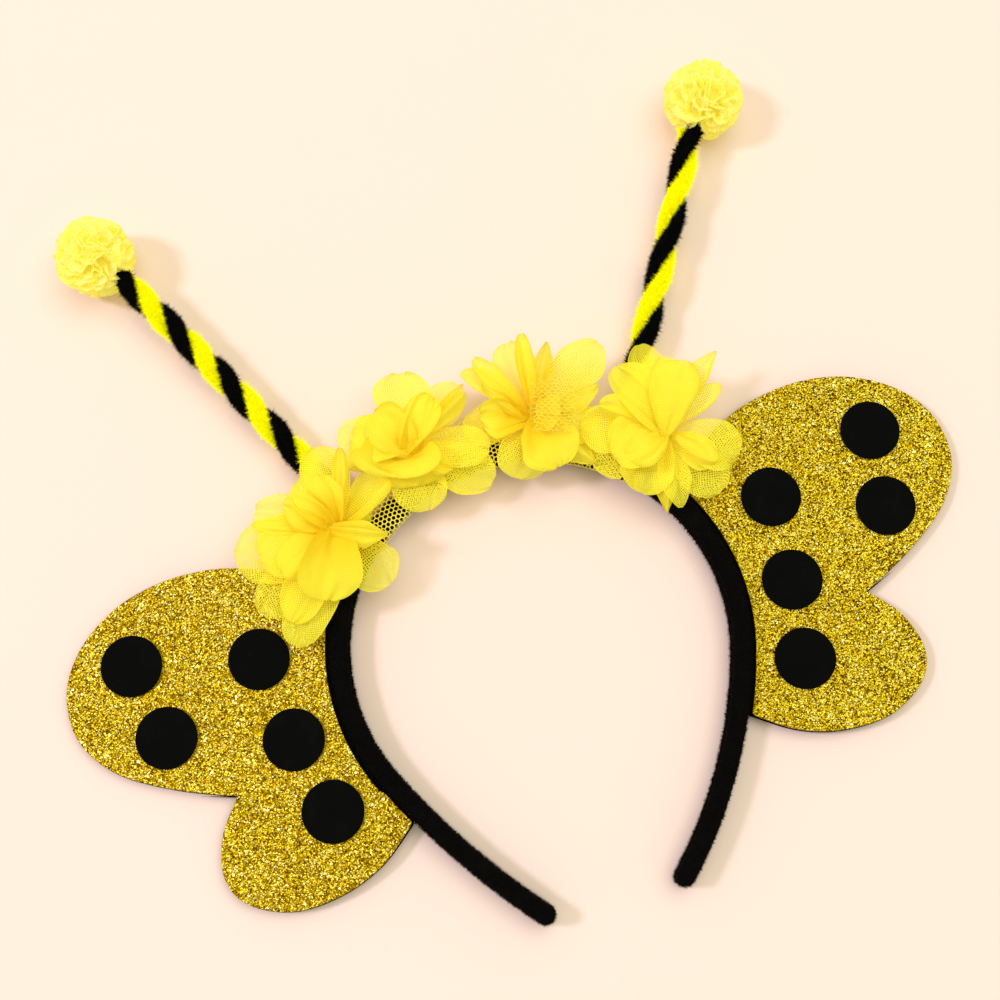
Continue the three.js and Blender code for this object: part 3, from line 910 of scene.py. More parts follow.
UPPER_LOBE = [Share(0.152, 0.483), Share(0.331, 0.527), Share(0.518, 0.538), Share(0.699, 0.514),
              Share(0.87, 0.445), Share(0.978, 0.339), Share(0.993, 0.205), Share(0.898, 0.083),
              Share(0.706, -0.02)]
NOTCH = Share(0.475, -0.106)
LOWER_LOBE = [Share(0.583, -0.196), Share(0.628, -0.303), Share(0.578, -0.389), Share(0.426, -0.452),
              Share(0.235, -0.46), Share(0.052, -0.425)]
SPOTS = [Share(0.708, 0.344), Share(0.228, 0.229), Share(0.668, 0.117), Share(0.206, -0.019),
         Share(0.158, -0.244)]


@dataclass
class Wing:
    """A felt backing, the glitter sheet on it and five felt spots."""

    line: BandLine
    name: str
    side: int
    seat: float
    lean: float
    root_top: float
    root_bottom: float
    span: float = 73.2
    height: float = 102.2
    clearance: float = 3.2
    droop: float = 1.6
    gap: float = 0.3
    backing_thickness: float = 1.2
    glitter_thickness: float = 1.0
    spot_diameter: float = 17.8
    spot_thickness: float = 0.8
    step: float = 360.0

    def frame(self) -> tuple[Vector, float]:
        """Where the wing meets the band, and its turn in radians."""
        place, heading = self.line.beside(self.side * self.line.station(self.seat), self.line.thickness / 2)
        return place, math.pi / 2 - heading + self.side * math.radians(self.lean)

    def seated(self) -> Matrix:
        """The turn and place of the wing on the headband.

        Returns:
            The matrix from the wing's own frame to the headband's.
        """
        place, turn = self.frame()
        rest = Matrix.Translation((place.x, place.y, self.clearance))
        return rest @ Matrix.Rotation(turn, 4, "Z") @ Matrix.Rotation(math.radians(self.droop), 4, "Y")

    def spot(self, share: Share) -> Vector:
        """A share of the outline as a point in the wing's own frame."""
        return Vector((share.out * self.span, self.side * share.up * self.height))

    def root(self, degrees: float, setback: float) -> Vector:
        """A point of the root edge.

        Args:
            degrees: where it is on the crown, measured from the apex.
            setback: how far it stays off the band.

        Returns:
            The point in the wing's own frame.
        """
        place, turn = self.frame()
        point, _ = self.line.beside(self.side * self.line.station(degrees), self.line.thickness / 2 + setback)
        return Matrix.Rotation(-turn, 2) @ (point - place)

    def outline(self, setback: float, margin: float) -> list[Vector]:
        """The wing's edge.

        Args:
            setback: how far the root edge stays off the band.
            margin: how far the rest is moved outwards.

        Returns:
            Its points, in order round the wing.
        """
        notch = self.spot(NOTCH)
        upper = [self.root(self.root_top, setback), *map(self.spot, UPPER_LOBE), notch]
        lower = [notch, *map(self.spot, LOWER_LOBE), self.root(self.root_bottom, setback)]
        rim = spline(upper, 90) + spline(lower, 70)[1:]
        moved = []
        for i, point in enumerate(rim):
            along = (rim[min(i + 1, len(rim) - 1)] - rim[max(i - 1, 0)]).normalized()
            moved.append(point + Vector((-along.y, along.x)) * margin * self.side)
        steps = 40
        turns = [self.root_bottom + (self.root_top - self.root_bottom) * i / steps for i in range(steps + 1)]
        closer = min(setback, 0.8)
        return moved[1:-1] + [self.root(turn, closer if turn > self.step else setback) for turn in turns]

    def sheet(self, outline: list[Vector], level: float, thickness: float, edge: float) -> bmesh.types.BMesh:
        """A flat sheet with softened edges.

        Args:
            outline: its edge.
            level: height of its underside in the wing's own frame.
            thickness: of the sheet.
            edge: how far its edges are rounded.

        Returns:
            The sheet, in the headband's frame.
        """
        bm = bmesh.new()
        verts = [bm.verts.new((point.x, point.y, level)) for point in outline]
        bm.faces.new(verts)
        slab(bm, thickness, edge)
        bmesh.ops.transform(bm, matrix=self.seated(), verts=bm.verts)
        return bm

    def build(self, palette: Palette) -> list[bpy.types.Object]:
        """Makes the backing, the glitter sheet and the spots.

        Args:
            palette: the finishes.

        Returns:
            The pieces.
        """
        backing = self.sheet(self.outline(self.gap, 0.6), 0, self.backing_thickness, 0.2)
        level = self.backing_thickness + self.gap
        glitter = self.sheet(self.outline(1.6, 0.42), level, self.glitter_thickness, 0.15)
        pieces = [
            finished(f"wing_{self.name}_felt", backing, palette.felt,
                     [f"wing_{self.name}_backing"], True),
            finished(f"wing_{self.name}_gold", glitter, palette.glitter,
                     [f"wing_{self.name}_glitter"], True),
        ]
        level += self.glitter_thickness + self.gap
        for number, share in enumerate(SPOTS, 1):
            bm = bmesh.new()
            bmesh.ops.create_circle(bm, cap_ends=True, segments=96, radius=self.spot_diameter / 2)
            slab(bm, self.spot_thickness, 0.15)
            centre = self.spot(share)
            move = self.seated() @ Matrix.Translation((centre.x, centre.y, level))
            bmesh.ops.transform(bm, matrix=move, verts=bm.verts)
            pieces.append(finished(f"felt_spot_{self.name}_{number}", bm, palette.felt,
                                   [f"spot_{self.name}_{number}"], True))
        return pieces


@dataclass
class Antenna:
    """Two chenille strands twisted into a rope, and the tulle pompom at its end."""

    line: BandLine
    name: str
    side: int
    seat: float
    lean: float
    reach: float
    bow: float
    pitch: float
    phase: float
    length: float = 117.0
    stem_diameter: float = 4.0
    twist: float = 25.0
    gap: float = 0.3
    pompom_diameter: float = 25.0
    pompom_core: float = 17.5
    shift: tuple[float, float] = (0.0, 0.0)
    seed: int = 1
    winding: float = 1.9
    core_radii: tuple[float, float] = (1.5, 2.3)

    def __post_init__(self) -> None:
        """Works out the rope's axis."""
        lean = self.side * math.radians(self.lean)
        plan, heading = self.line.beside(self.side * self.line.station(self.seat), self.line.thickness / 2)
        offset = self.stem_diameter / 2 + self.gap
        direction = Vector((math.sin(lean), math.cos(lean), 0))
        foot = Vector((plan.x, plan.y, self.line.width / 2))
        self.centre = foot + direction * (self.length * self.reach)
        self.centre.z = self.pompom_diameter / 2
        self.axis = (self.centre - foot).normalized()
        helix = math.atan2(2 * math.pi * offset, self.twist * self.pitch)
        cut = self.stem_diameter / 2 * math.sin(helix)
        rope = offset + self.stem_diameter / 2
        self.start = foot + self.axis * (self.gap + cut + rope * abs(math.sin(heading - lean)))
        self.end = self.centre - self.axis * (self.pompom_core / 2 + 2 * self.gap + cut)
        self.across = Vector((direction.y, -direction.x, 0))
        self.below = self.axis.cross(self.across)
        self.turns = (self.end - self.start).length / (self.twist * self.pitch)

    def strand(self, phase: float, radius: float) -> Callable[[float], Vector]:
        """The line of one strand.

        Args:
            phase: its turn round the rope at the foot, in radians.
            radius: its distance from the rope's axis.

        Returns:
            A function from a share of the length to a point.
        """
        def line(share: float) -> Vector:
            """The strand's middle.

            Args:
                share: of the strand's length.

            Returns:
                The point there.
            """
            angle = phase + 2 * math.pi * self.turns * share
            bow = self.side * self.bow * self.length * math.sin(math.pi * share)
            shift = self.shift[0] + (self.shift[1] - self.shift[0]) * share
            middle = self.start.lerp(self.end, share) + self.across * (bow + shift + radius * math.cos(angle))
            return middle + self.below * (radius * math.sin(angle))
        return line

    def build(self, palette: Palette) -> list[bpy.types.Object]:
        """Makes both strands with their pile.

        Args:
            palette: the finishes.

        Returns:
            The pieces.
        """
        pieces = []
        looks = [("black", 0.0, palette.black_core, palette.black_pile),
                 ("yellow", math.pi, palette.yellow_core, palette.yellow_pile)]
        for number, (colour, phase, core, fibres) in enumerate(looks):
            bm = bmesh.new()
            line = self.strand(phase + self.phase, self.winding)
            middle = self.strand(0, 0)
            tube(bm, line, lambda share: line(share) - middle(share), self.core_radii, 20, 200)
            stem = finished(f"chenille_{self.name}_{colour}", bm, core,
                            [f"antenna_{self.name}_{colour}"])
            pile = Pile(13.0, 1.25, 0.16, 0.36, self.seed * 10 + number)
            strays = Pile(2.4, 1.9, 0.3, 0.36, self.seed * 10 + number + 5)
            pieces += [stem, pile.grow(f"chenille_{self.name}_{colour}_pile", stem, fibres, f"{colour}_chenille"),
                       strays.grow(f"chenille_{self.name}_{colour}_strays", stem, fibres, f"{colour}_chenille")]
        return pieces


@dataclass
class Pompom:
    """A ball of tulle: a long strip, folded double and gathered, whose loops crowd the surface."""

    name: str
    centre: Vector
    turn: float
    seed: int
    radius: float = 12.4
    core: float = 8.8
    deep: float = 7.4
    loops: int = 120
    loop_length: float = 8.5
    width: float = 10.5
    ply: float = 0.55
    cells: tuple[int, int] = (10, 14)

    def loop(self, number: int) -> Surface:
        """The surface of one loop; across runs from one raw edge over the fold to the other.

        Args:
            number: which loop.

        Returns:
            Its surface.
        """
        rng = np.random.default_rng(self.seed * 1000 + number)
        level = 1 - 2 * (number + 0.5) / self.loops
        azimuth = number * math.pi * (3 - math.sqrt(5))
        flat = math.sqrt(1 - level * level)
        out = Vector((flat * math.cos(azimuth), flat * math.sin(azimuth), level))
        field = Vector(tuple(noise.noise(out * 1.4 + Vector((axis * 9.1, self.seed, 0))) for axis in range(3)))
        ahead = out.cross(field + Vector(rng.normal(0, 0.12, 3))).normalized()
        side = out.cross(ahead)
        bend, phase, lean = rng.uniform(0.8, 2.2), rng.uniform(0, 6.28), rng.normal(0, 0.16)
        height = self.radius * rng.uniform(0.93, 1.02)
        length = self.loop_length * rng.uniform(0.75, 1.2)

        def surface(across: float, along: float) -> Vector:
            """A point of the loop.

            Args:
                across: share of the strip's width.
                along: share of the loop's length.

            Returns:
                The point.
            """
            way = along - 0.5
            half = 2 * across - 1
            swing = bend * math.sin(way * 5.2 + phase)
            direction = (out * self.radius + ahead * (way * length) + side * swing).normalized()
            ends = 1 - 0.12 * abs(2 * way) ** 3
            rise = 1 - abs(half) ** 2.4
            ripple = 0.2 * math.sin(way * 19 + phase)
            reach = self.deep + (height * ends - self.deep) * rise
            tilt = (lean * (reach - self.deep) + ripple * rise) + self.ply * half * (1.25 - abs(half)) * 2
            return direction * reach + side * tilt
        return surface

    def build(self, palette: Palette) -> list[bpy.types.Object]:
        """Makes the gathered strip and the kernel behind it.

        Args:
            palette: the finishes.

        Returns:
            The pieces.
        """
        bm = bmesh.new()
        for number in range(self.loops):
            patch(bm, *self.cells, self.loop(number), (self.width, self.loop_length), 0.3, number * 1.7)
        place = Matrix.Translation(self.centre) @ Matrix.Rotation(self.turn, 4, "Z") @ Matrix.Rotation(0.9, 4, "X")
        bmesh.ops.transform(bm, matrix=place, verts=bm.verts)
        ruffle = finished(f"pompom_{self.name}_ruffle", bm, palette.tulle, [f"pompom_{self.name}"])
        length = self.loops * self.loop_length
        self.width * MM
        length * MM
        bm = bmesh.new()
        ball = bmesh.ops.create_icosphere(bm, subdivisions=4, radius=self.core)["verts"]
        for vert in ball:
            vert.co *= 1 + 0.08 * noise.noise(vert.co * 0.7 + Vector((self.seed, 0, 0)))
        bmesh.ops.transform(bm, matrix=place, verts=ball)
        kernel = finished(f"pompom_{self.name}_kernel", bm, palette.kernel)
        return [ruffle, kernel]


@dataclass
class NetRibbon:
    """The net that the flowers sit on, real mesh of fine thread, and its end turned up over a flower."""

    line: BandLine
    sweep_from: float = -46.6
    sweep_to: float = 46.8
    width: float = 16.5
    inset: float = 2.6
    thread: float = 0.42
    pitch: float = 1.35
    fold: tuple[Vector, ...] = (Vector((19.0, 31.4, 20.6)), Vector((31.9, 27.8, 19.6)),
                                Vector((27.4, 11.4, 19.6)), Vector((14.3, 14.9, 20.8)))

    @property
    def middle(self) -> float:
        """Offset of the ribbon's middle from the band's centreline."""
        return self.width / 2 - self.inset - self.line.thickness / 2

    def netting(self, name: str, cells: tuple[int, int], surface: Surface, palette: Palette, node: str,
                size: tuple[float, float], thread: float) -> bpy.types.Object:
        """Makes a piece of net with six-sided holes.

        Args:
            name: the piece's name.
            cells: holes across and along.
            surface: what the net lies on.
            palette: the finishes.
            node: the CAD node that it replaces.
            size: the net's width and length.
            thread: how thick its thread is.

        Returns:
            The piece.
        """
        bm = bmesh.new()
        bmesh.ops.create_grid(bm, x_segments=2 * cells[0], y_segments=cells[1], size=0.5)
        place = {vert: (round((vert.co.x + 0.5) * 2 * cells[0]), round((vert.co.y + 0.5) * cells[1]))
                 for vert in bm.verts}
        spare = []
        for edge in bm.edges:
            (column, row), (other, _) = sorted((place[vert] for vert in edge.verts), key=lambda spot: spot[1])
            if column == other and not edge.is_boundary and (column + row) % 2:
                spare.append(edge)
        for vert, (column, row) in place.items():
            vert.co.y += (0.17 if (column + row) % 2 == 0 else -0.17) / cells[1]
        bmesh.ops.dissolve_edges(bm, edges=spare, use_verts=False)
        for vert in bm.verts:
            vert.co = surface(vert.co.x + 0.5, vert.co.y + 0.5)
        bmesh.ops.wireframe(bm, faces=list(bm.faces), thickness=thread, use_replace=True,
                            use_boundary=False, use_even_offset=False)
        net = finished(name, bm, palette.net, [node])
        size[0] * MM
        size[1] * MM
        return net

    def ribbon(self, across: float, along: float) -> Vector:
        """The ribbon's surface on the band's upper edge.

        Args:
            across: share of its width.
            along: share of its length.

        Returns:
            The point there.
        """
        station = self.line.station(self.sweep_from + (self.sweep_to - self.sweep_from) * along)
        offset = self.middle + (across - 0.5) * self.width
        point, _ = self.line.beside(station, offset)
        ripple = noise.noise(Vector((station * 0.16, offset * 0.22, 4.2)))
        past = max(-offset - self.line.thickness / 2 + 0.6, 0.0)
        return Vector((point.x, point.y, self.line.width + 0.75 + 0.5 * ripple - 0.12 * past * past))

    def turned_up(self, across: float, along: float) -> Vector:
        """The end that is turned up over the third flower.

        Args:
            across: share of its width.
            along: share of its length.

        Returns:
            The point there.
        """
        top = self.fold[0].lerp(self.fold[1], across)
        bottom = self.fold[3].lerp(self.fold[2], across)
        point = top.lerp(bottom, along)
        ripple = noise.noise(Vector((across * 3, along * 4, 9.1)))
        point.z += 1.6 * math.sin(math.pi * along) + 1.2 * ripple
        edge = max(abs(2 * across - 1), abs(2 * along - 1)) ** 3
        fray = Vector((noise.noise(point * 0.9), noise.noise(point * 0.9 + Vector((9, 0, 0))), 0))
        return point + fray * (0.35 + 1.3 * edge)

    def build(self, palette: Palette) -> list[bpy.types.Object]:
        """Makes the ribbon and the turned-up end.

        Args:
            palette: the finishes.

        Returns:
            The pieces.
        """
        length = (self.line.crown_radius + self.middle) * math.radians(self.sweep_to - self.sweep_from)
        across = round(self.width / self.pitch)
        return [
            self.netting("net_strip", (across, round(length / self.pitch)), self.ribbon, palette,
                         "net_ribbon", (self.width, length), self.thread),
            self.netting("net_turned_up", (7, 19), self.turned_up, palette, "net_fold", (13.5, 17.0), 0.3),
        ]


class Fold(Enum):
    """How a petal's sides are turned: where each fold lies and how far it turns, left then right."""

    OPEN = ((2.0, 0), (2.0, 0))
    RIGHT = ((2.0, 0), (0.4, 125))
    BOTH = ((0.5, 95), (0.5, 95))
    PINCHED = ((0.04, 82), (0.04, 82))
    RIDGE = ((0.03, -56), (0.03, -56))
    LIPPED = ((0.72, -95), (0.72, -95))
    CREST = ((0.03, -78), (0.03, -14))
    LEFT_LIP = ((0.6, -130), (2.0, 0))
    RIGHT_LIP = ((2.0, 0), (0.6, -130))


@dataclass(frozen=True)
class Petal:
    """One petal of chiffon.

    Its first numbers are where it points, its length and width, the slope at its foot and how much
    that changes to the tip, how far its sides rise, and its height on the knot.
    """

    toward: float
    long: float
    wide: float
    lift: float
    curl: float
    cup: float = 20
    seat: float = 2
    sway: float = 0
    roll: float = 0
    fold: Fold = Fold.OPEN
    start: float = 1.0
    sheer: float = 0.4
    neck: float = 0.2
    broadest: float = 0.64
    flare: float = 0.75
    ripple: float = 0.8
    point: float = 0.0
    aside: float = 0.0

    def breadth(self, along: float) -> float:
        """Half-width as a share of the full half-width.

        Args:
            along: share of the length.

        Returns:
            The share.
        """
        if along < self.broadest:
            return self.neck + (1 - self.neck) * math.sin(along / self.broadest * math.pi / 2)
        past = (along - self.broadest) / (1 - self.broadest)
        return math.sqrt(1 - past * past) * (1 - self.point) + (1 - past) ** 0.8 * self.point

    def spine(self, steps: int = 40) -> list[tuple[Vector, float, float]]:
        """The petal's middle line.

        Args:
            steps: how many pieces it is cut into.

        Returns:
            For each step its point, heading and slope, in radians.
        """
        out = Vector((math.cos(math.radians(self.toward)), math.sin(math.radians(self.toward)), 0))
        place = out * self.start + Vector((-out.y, out.x, 0)) * self.aside
        place.z = self.seat
        made = []
        for i in range(steps + 1):
            along = i / steps
            heading = math.radians(self.toward + self.sway * along)
            slope = math.radians(self.lift + self.curl * along)
            made.append((place.copy(), heading, slope))
            place += Vector((math.cos(heading) * math.cos(slope), math.sin(heading) * math.cos(slope),
                             math.sin(slope))) * (self.long / steps)
        return made

    def section(self, across: float, along: float) -> tuple[float, float]:
        """The petal's section.

        Args:
            across: from -1 at the left edge to 1 at the right.
            along: share of the length.

        Returns:
            How far the point is out to the side and up, as shares of the half-width.
        """
        line, angle = self.fold.value[0 if across < 0 else 1]
        side = rise = 0.0
        steps = 10
        cup = math.radians(self.cup) * (1 - self.flare * along)
        for i in range(steps):
            share = abs(across) * (i + 0.5) / steps
            turn = cup * share + math.radians(angle) * smoothstep((share - line) / 0.22)
            side += math.cos(turn) * abs(across) / steps
            rise += math.sin(turn) * abs(across) / steps
        return math.copysign(side, across) if across else 0.0, rise

    def surface(self, seed: float) -> Surface:
        """The petal's surface.

        Args:
            seed: picks its creases.

        Returns:
            The surface.
        """
        spine = self.spine()

        def point(share_across: float, share_along: float) -> Vector:
            """A point of the petal.

            Args:
                share_across: share of its width.
                share_along: share of its length.

            Returns:
                The point.
            """
            across = 2 * share_across - 1
            along = 0.985 * share_along * (1.25 - 0.25 * share_along)
            place = along * (len(spine) - 1)
            k = min(int(place), len(spine) - 2)
            middle = spine[k][0].lerp(spine[k + 1][0], place - k)
            heading, slope = spine[k][1], spine[k][2]
            ahead = Vector((math.cos(heading) * math.cos(slope), math.sin(heading) * math.cos(slope),
                            math.sin(slope)))
            left = Vector((-math.sin(heading), math.cos(heading), 0))
            turn = Matrix.Rotation(math.radians(self.roll), 3, ahead)
            left, up = turn @ left, turn @ ahead.cross(left)
            side, rise = self.section(across, along)
            half = self.wide / 2 * self.breadth(along)
            half *= 1 + 0.16 * noise.noise(Vector((seed, along * 3.2, math.copysign(4, across))))
            crease = noise.noise(Vector((across * 1.9, along * 1.6, seed)))
            pleat = math.sin(across * 8 + seed) * (1 - along) ** 0.7 * 0.5 * min(along * 6, 1)
            edge = math.sin(along * 13 + seed * 3 + (2 if across > 0 else 0)) * across * across * along
            crumple = noise.noise(Vector((across * 4.3, along * 5.2, seed + 7))) * 0.25
            grown = min(along * 3, 1)
            groove = abs(noise.noise(Vector((across * 1.7 + seed, along * 1.1, seed * 0.7)))) * grown
            rippled = self.ripple * (crease * 1.5 * grown + edge * 0.8)
            lifted = rise * half + rippled + pleat + crumple - 2.4 * groove
            return middle - left * (side * half) + up * lifted
        return point


@dataclass
class Flower:
    """Chiffon petals gathered on a knot."""

    line: BandLine
    name: str
    sweep: float
    out: float
    petals: list[Petal]
    seed: int
    # How far the painted shade at each petal's root reaches; cupped petals get more.
    depth: float = 1.0
    ribbon_width: float = 16.5
    ribbon_middle: float = 3.05
    level: float = 11.6
    knot_diameter: float = 6.5
    knot_height: float = 1.8
    cells: tuple[int, int] = (16, 22)

    @property
    def centre(self) -> Vector:
        """The middle of the knot's foot."""
        offset = self.ribbon_middle + self.out * self.ribbon_width
        point, _ = self.line.beside(self.line.station(self.sweep), offset)
        return Vector((point.x, point.y, self.level))

    def build(self, palette: Palette) -> list[bpy.types.Object]:
        """Makes the petals as one gathered piece, and the knot.

        Args:
            palette: the finishes.

        Returns:
            The pieces.
        """
        bm = bmesh.new()
        for number, petal in enumerate(self.petals):
            seed = self.seed * 13.7 + number * 2.31
            patch(bm, *self.cells, petal.surface(seed), (petal.wide, petal.long), petal.sheer, seed,
                  self.depth * (0.8 + petal.cup / 160))
        bmesh.ops.translate(bm, vec=self.centre, verts=bm.verts)
        petals = refine(finished(f"{self.name}_petals", bm, palette.chiffon, [self.name]))
        width = max(petal.long for petal in self.petals)
        bm = bmesh.new()
        bmesh.ops.create_cone(bm, cap_ends=True, segments=28, radius1=self.knot_diameter / 2,
                              radius2=self.knot_diameter * 0.3, depth=self.knot_height)
        bmesh.ops.bevel(bm, geom=[e for e in bm.edges if len(e.link_faces) == 2 and e.calc_face_angle() > 0.8],
                        offset=0.5, offset_type="OFFSET", affect="EDGES", segments=3, profile=0.5, material=-1)
        bmesh.ops.translate(bm, vec=self.centre + Vector((0, 0, self.knot_height / 2)), verts=bm.verts)
        return [petals, finished(f"{self.name}_knot", bm, palette.knot)]


# Each row's plain numbers: toward, long, wide, lift, curl, cup, seat. The lowest petals come first.
PETALS = {
    "flower_1": [
        Petal(-148, 31.5, 15, 6, -12, 16, 0.6, sheer=1.0),
        Petal(-125, 34.5, 15, 8, -14, 20, 1.0, sheer=0.5),
        Petal(-177, 30, 19, 14, -26, 22, 1.6, sheer=0.9),
        Petal(152, 24.5, 14, 20, -30, 24, 2.2, sheer=0.8),
        Petal(-60, 21, 15, 10, -22, 18, 1.6, sheer=0.9),
        Petal(-131, 29, 13.5, 16, -30, 26, 2.8, sheer=0.4),
        Petal(-176, 23.5, 18, 30, -44, 30, 3.0, sheer=0.3),
        Petal(163, 24.5, 8, 34, -44, 30, 3.8, fold=Fold.RIDGE, sheer=0.3),
        Petal(88, 25, 14.5, 22, -24, 20, 2.4, sheer=0.5),
        Petal(71, 24, 6.5, 40, -24, 20, 4.0, fold=Fold.RIDGE, sheer=0.1),
        Petal(29, 20.5, 15, 18, -16, 30, 2.6, roll=-14, fold=Fold.RIGHT, sheer=0.4),
        Petal(96, 18, 13, 60, -70, 50, 3.8, fold=Fold.LIPPED, sheer=0.1),
        Petal(117, 19, 12, 60, -70, 66, 4.2, sheer=0.1),
        Petal(142, 17.5, 12, 58, -70, 70, 4.6, roll=-22, fold=Fold.LIPPED, sheer=0.1),
        Petal(-24, 20.5, 11, 30, -36, 30, 6.2, start=-4.0, roll=-8, fold=Fold.RIDGE, sheer=0.0,
              point=0.85),
        Petal(-112, 25.5, 19, 32, -52, 70, 4.2, start=-3.0, roll=-16, sheer=0.0),
        Petal(-147, 21, 16, 40, -48, 20, 5.6, roll=6, fold=Fold.CREST, sheer=0.0),
    ],
    "flower_2": [
        Petal(38, 23, 12, 14, -22, 20, 0.8, sheer=0.9),
        Petal(-39, 26, 15, 8, -20, 18, 1.2, sheer=0.7),
        Petal(-18, 23, 13, 18, -26, 24, 1.6, sheer=0.8),
        Petal(-91, 19.5, 15.5, 14, -34, 20, 1.8, sheer=0.7),
        Petal(84, 21.5, 17, 26, -30, 22, 2.2, sheer=0.4),
        Petal(156, 21, 13, 22, -28, 26, 2.0, sheer=0.9),
        Petal(30, 23.5, 7, 34, -24, 20, 3.0, fold=Fold.PINCHED, sheer=0.6),
        Petal(26, 22, 9, 34, -34, 20, 3.4, fold=Fold.RIDGE, sheer=0.2),
        Petal(-45, 15, 9, 34, -42, 30, 3.4, fold=Fold.CREST, sheer=0.1),
        Petal(-95, 12, 21, 20, -40, 30, 3.2, sheer=0.0),
        Petal(-172, 20, 11, 34, -44, 20, 3.6, fold=Fold.CREST, sheer=0.0),
        Petal(162, 17.5, 15, 46, -58, 50, 3.2, sheer=0.1),
        Petal(124, 19, 17, 50, -66, 80, 3.4, start=-3.5, roll=-10, fold=Fold.LEFT_LIP, flare=0.6,
              sheer=0.0, aside=2.0),
        Petal(49, 20.5, 12.5, 52, -64, 110, 4.4, start=-3.5, roll=16, fold=Fold.LEFT_LIP, flare=0.6,
              sheer=0.0),
        Petal(-106, 10, 28, 68, -56, 90, 3.8, start=4.4, neck=0.75, roll=-8, sheer=0.0, aside=-3.5),
    ],
    "flower_3": [
        Petal(177, 20.5, 13, 12, -22, 20, 1.0, sheer=0.9),
        Petal(-118, 19, 15.5, 14, -30, 20, 1.4, sheer=0.6),
        Petal(95, 22.5, 13, 24, -26, 20, 1.4, sheer=0.7),
        Petal(31, 28.5, 14, 10, 4, 16, 1.0, sheer=0.5),
        Petal(63, 21.5, 9.5, 24, -14, 26, 1.8, fold=Fold.RIDGE, sheer=0.1, point=0.8),
        Petal(7, 20.5, 10, 22, -18, 30, 2.4, fold=Fold.CREST, sheer=0.2, point=0.4),
        Petal(-28, 19, 13, 16, -24, 24, 1.8, sheer=0.3),
        Petal(-55, 23, 12, 15, -22, 30, 2.6, fold=Fold.RIDGE, sheer=0.2, point=0.8),
        Petal(137, 24, 8, 30, -28, 30, 3.0, fold=Fold.LEFT_LIP, sheer=0.2),
        Petal(124, 23.5, 8, 34, -30, 30, 3.2, fold=Fold.RIGHT_LIP, sheer=0.3),
        Petal(84, 23.5, 9, 44, -36, 20, 3.8, fold=Fold.BOTH, sheer=0.1),
        Petal(166, 15.5, 15, 40, -54, 90, 2.4, roll=-34, flare=0.4, sheer=0.0, aside=1.0),
        Petal(131, 17, 5, 50, -54, 20, 5.6, fold=Fold.RIDGE, sheer=0.0, aside=3.2, broadest=0.4),
        Petal(-80, 18.5, 18, 36, -62, 50, 3.2, sheer=0.0),
        Petal(-20, 9, 12, 60, -60, 60, 3.6, sheer=0.0),
    ],
    "flower_4": [
        Petal(-62, 23, 15, 8, -18, 18, 0.8, sheer=1.0),
        Petal(-175, 23, 16.5, 10, -20, 20, 1.0, sheer=1.0),
        Petal(-31, 22, 15, 18, -32, 22, 1.8, sheer=0.8),
        Petal(90, 27, 12, 16, -14, 18, 1.0, sheer=0.9),
        Petal(77, 22, 13, 26, -26, 20, 1.8, sheer=0.6),
        Petal(42, 27.5, 11, 22, -14, 24, 2.0, fold=Fold.RIGHT, sheer=0.5, point=0.95),
        Petal(25, 20.5, 10, 24, -24, 26, 2.4, fold=Fold.BOTH, sheer=0.5),
        Petal(-131, 19.5, 15.5, 16, -28, 22, 2.2, sheer=0.4),
        Petal(-106, 23.5, 10, 12, -22, 30, 1.6, fold=Fold.RIDGE, sheer=0.3, point=1.0),
        Petal(-96, 22.5, 10.5, 14, -22, 24, 1.4, sheer=0.8, point=0.8),
        Petal(163, 25, 15, 20, -28, 24, 2.0, sheer=0.5),
        Petal(144, 22, 10, 40, -42, 30, 4.4, sway=10, fold=Fold.CREST, sheer=0.2),
        Petal(115, 26.5, 14, 32, -34, 24, 3.8, start=-1.5, roll=14, sheer=0.2),
        Petal(-49, 17.5, 14, 36, -44, 30, 3.2, fold=Fold.RIDGE, sheer=0.2),
        Petal(-172, 18.5, 16.5, 42, -66, 40, 3.4, sheer=0.0),
        Petal(-163, 15.5, 16.5, 50, -80, 70, 4.2, roll=20, fold=Fold.LIPPED, sheer=0.0),
        Petal(60, 25, 17, 36, -42, 16, 5.0, start=-3.5, neck=0.05, broadest=0.74, fold=Fold.RIGHT_LIP,
              sheer=0.1),
    ],
}


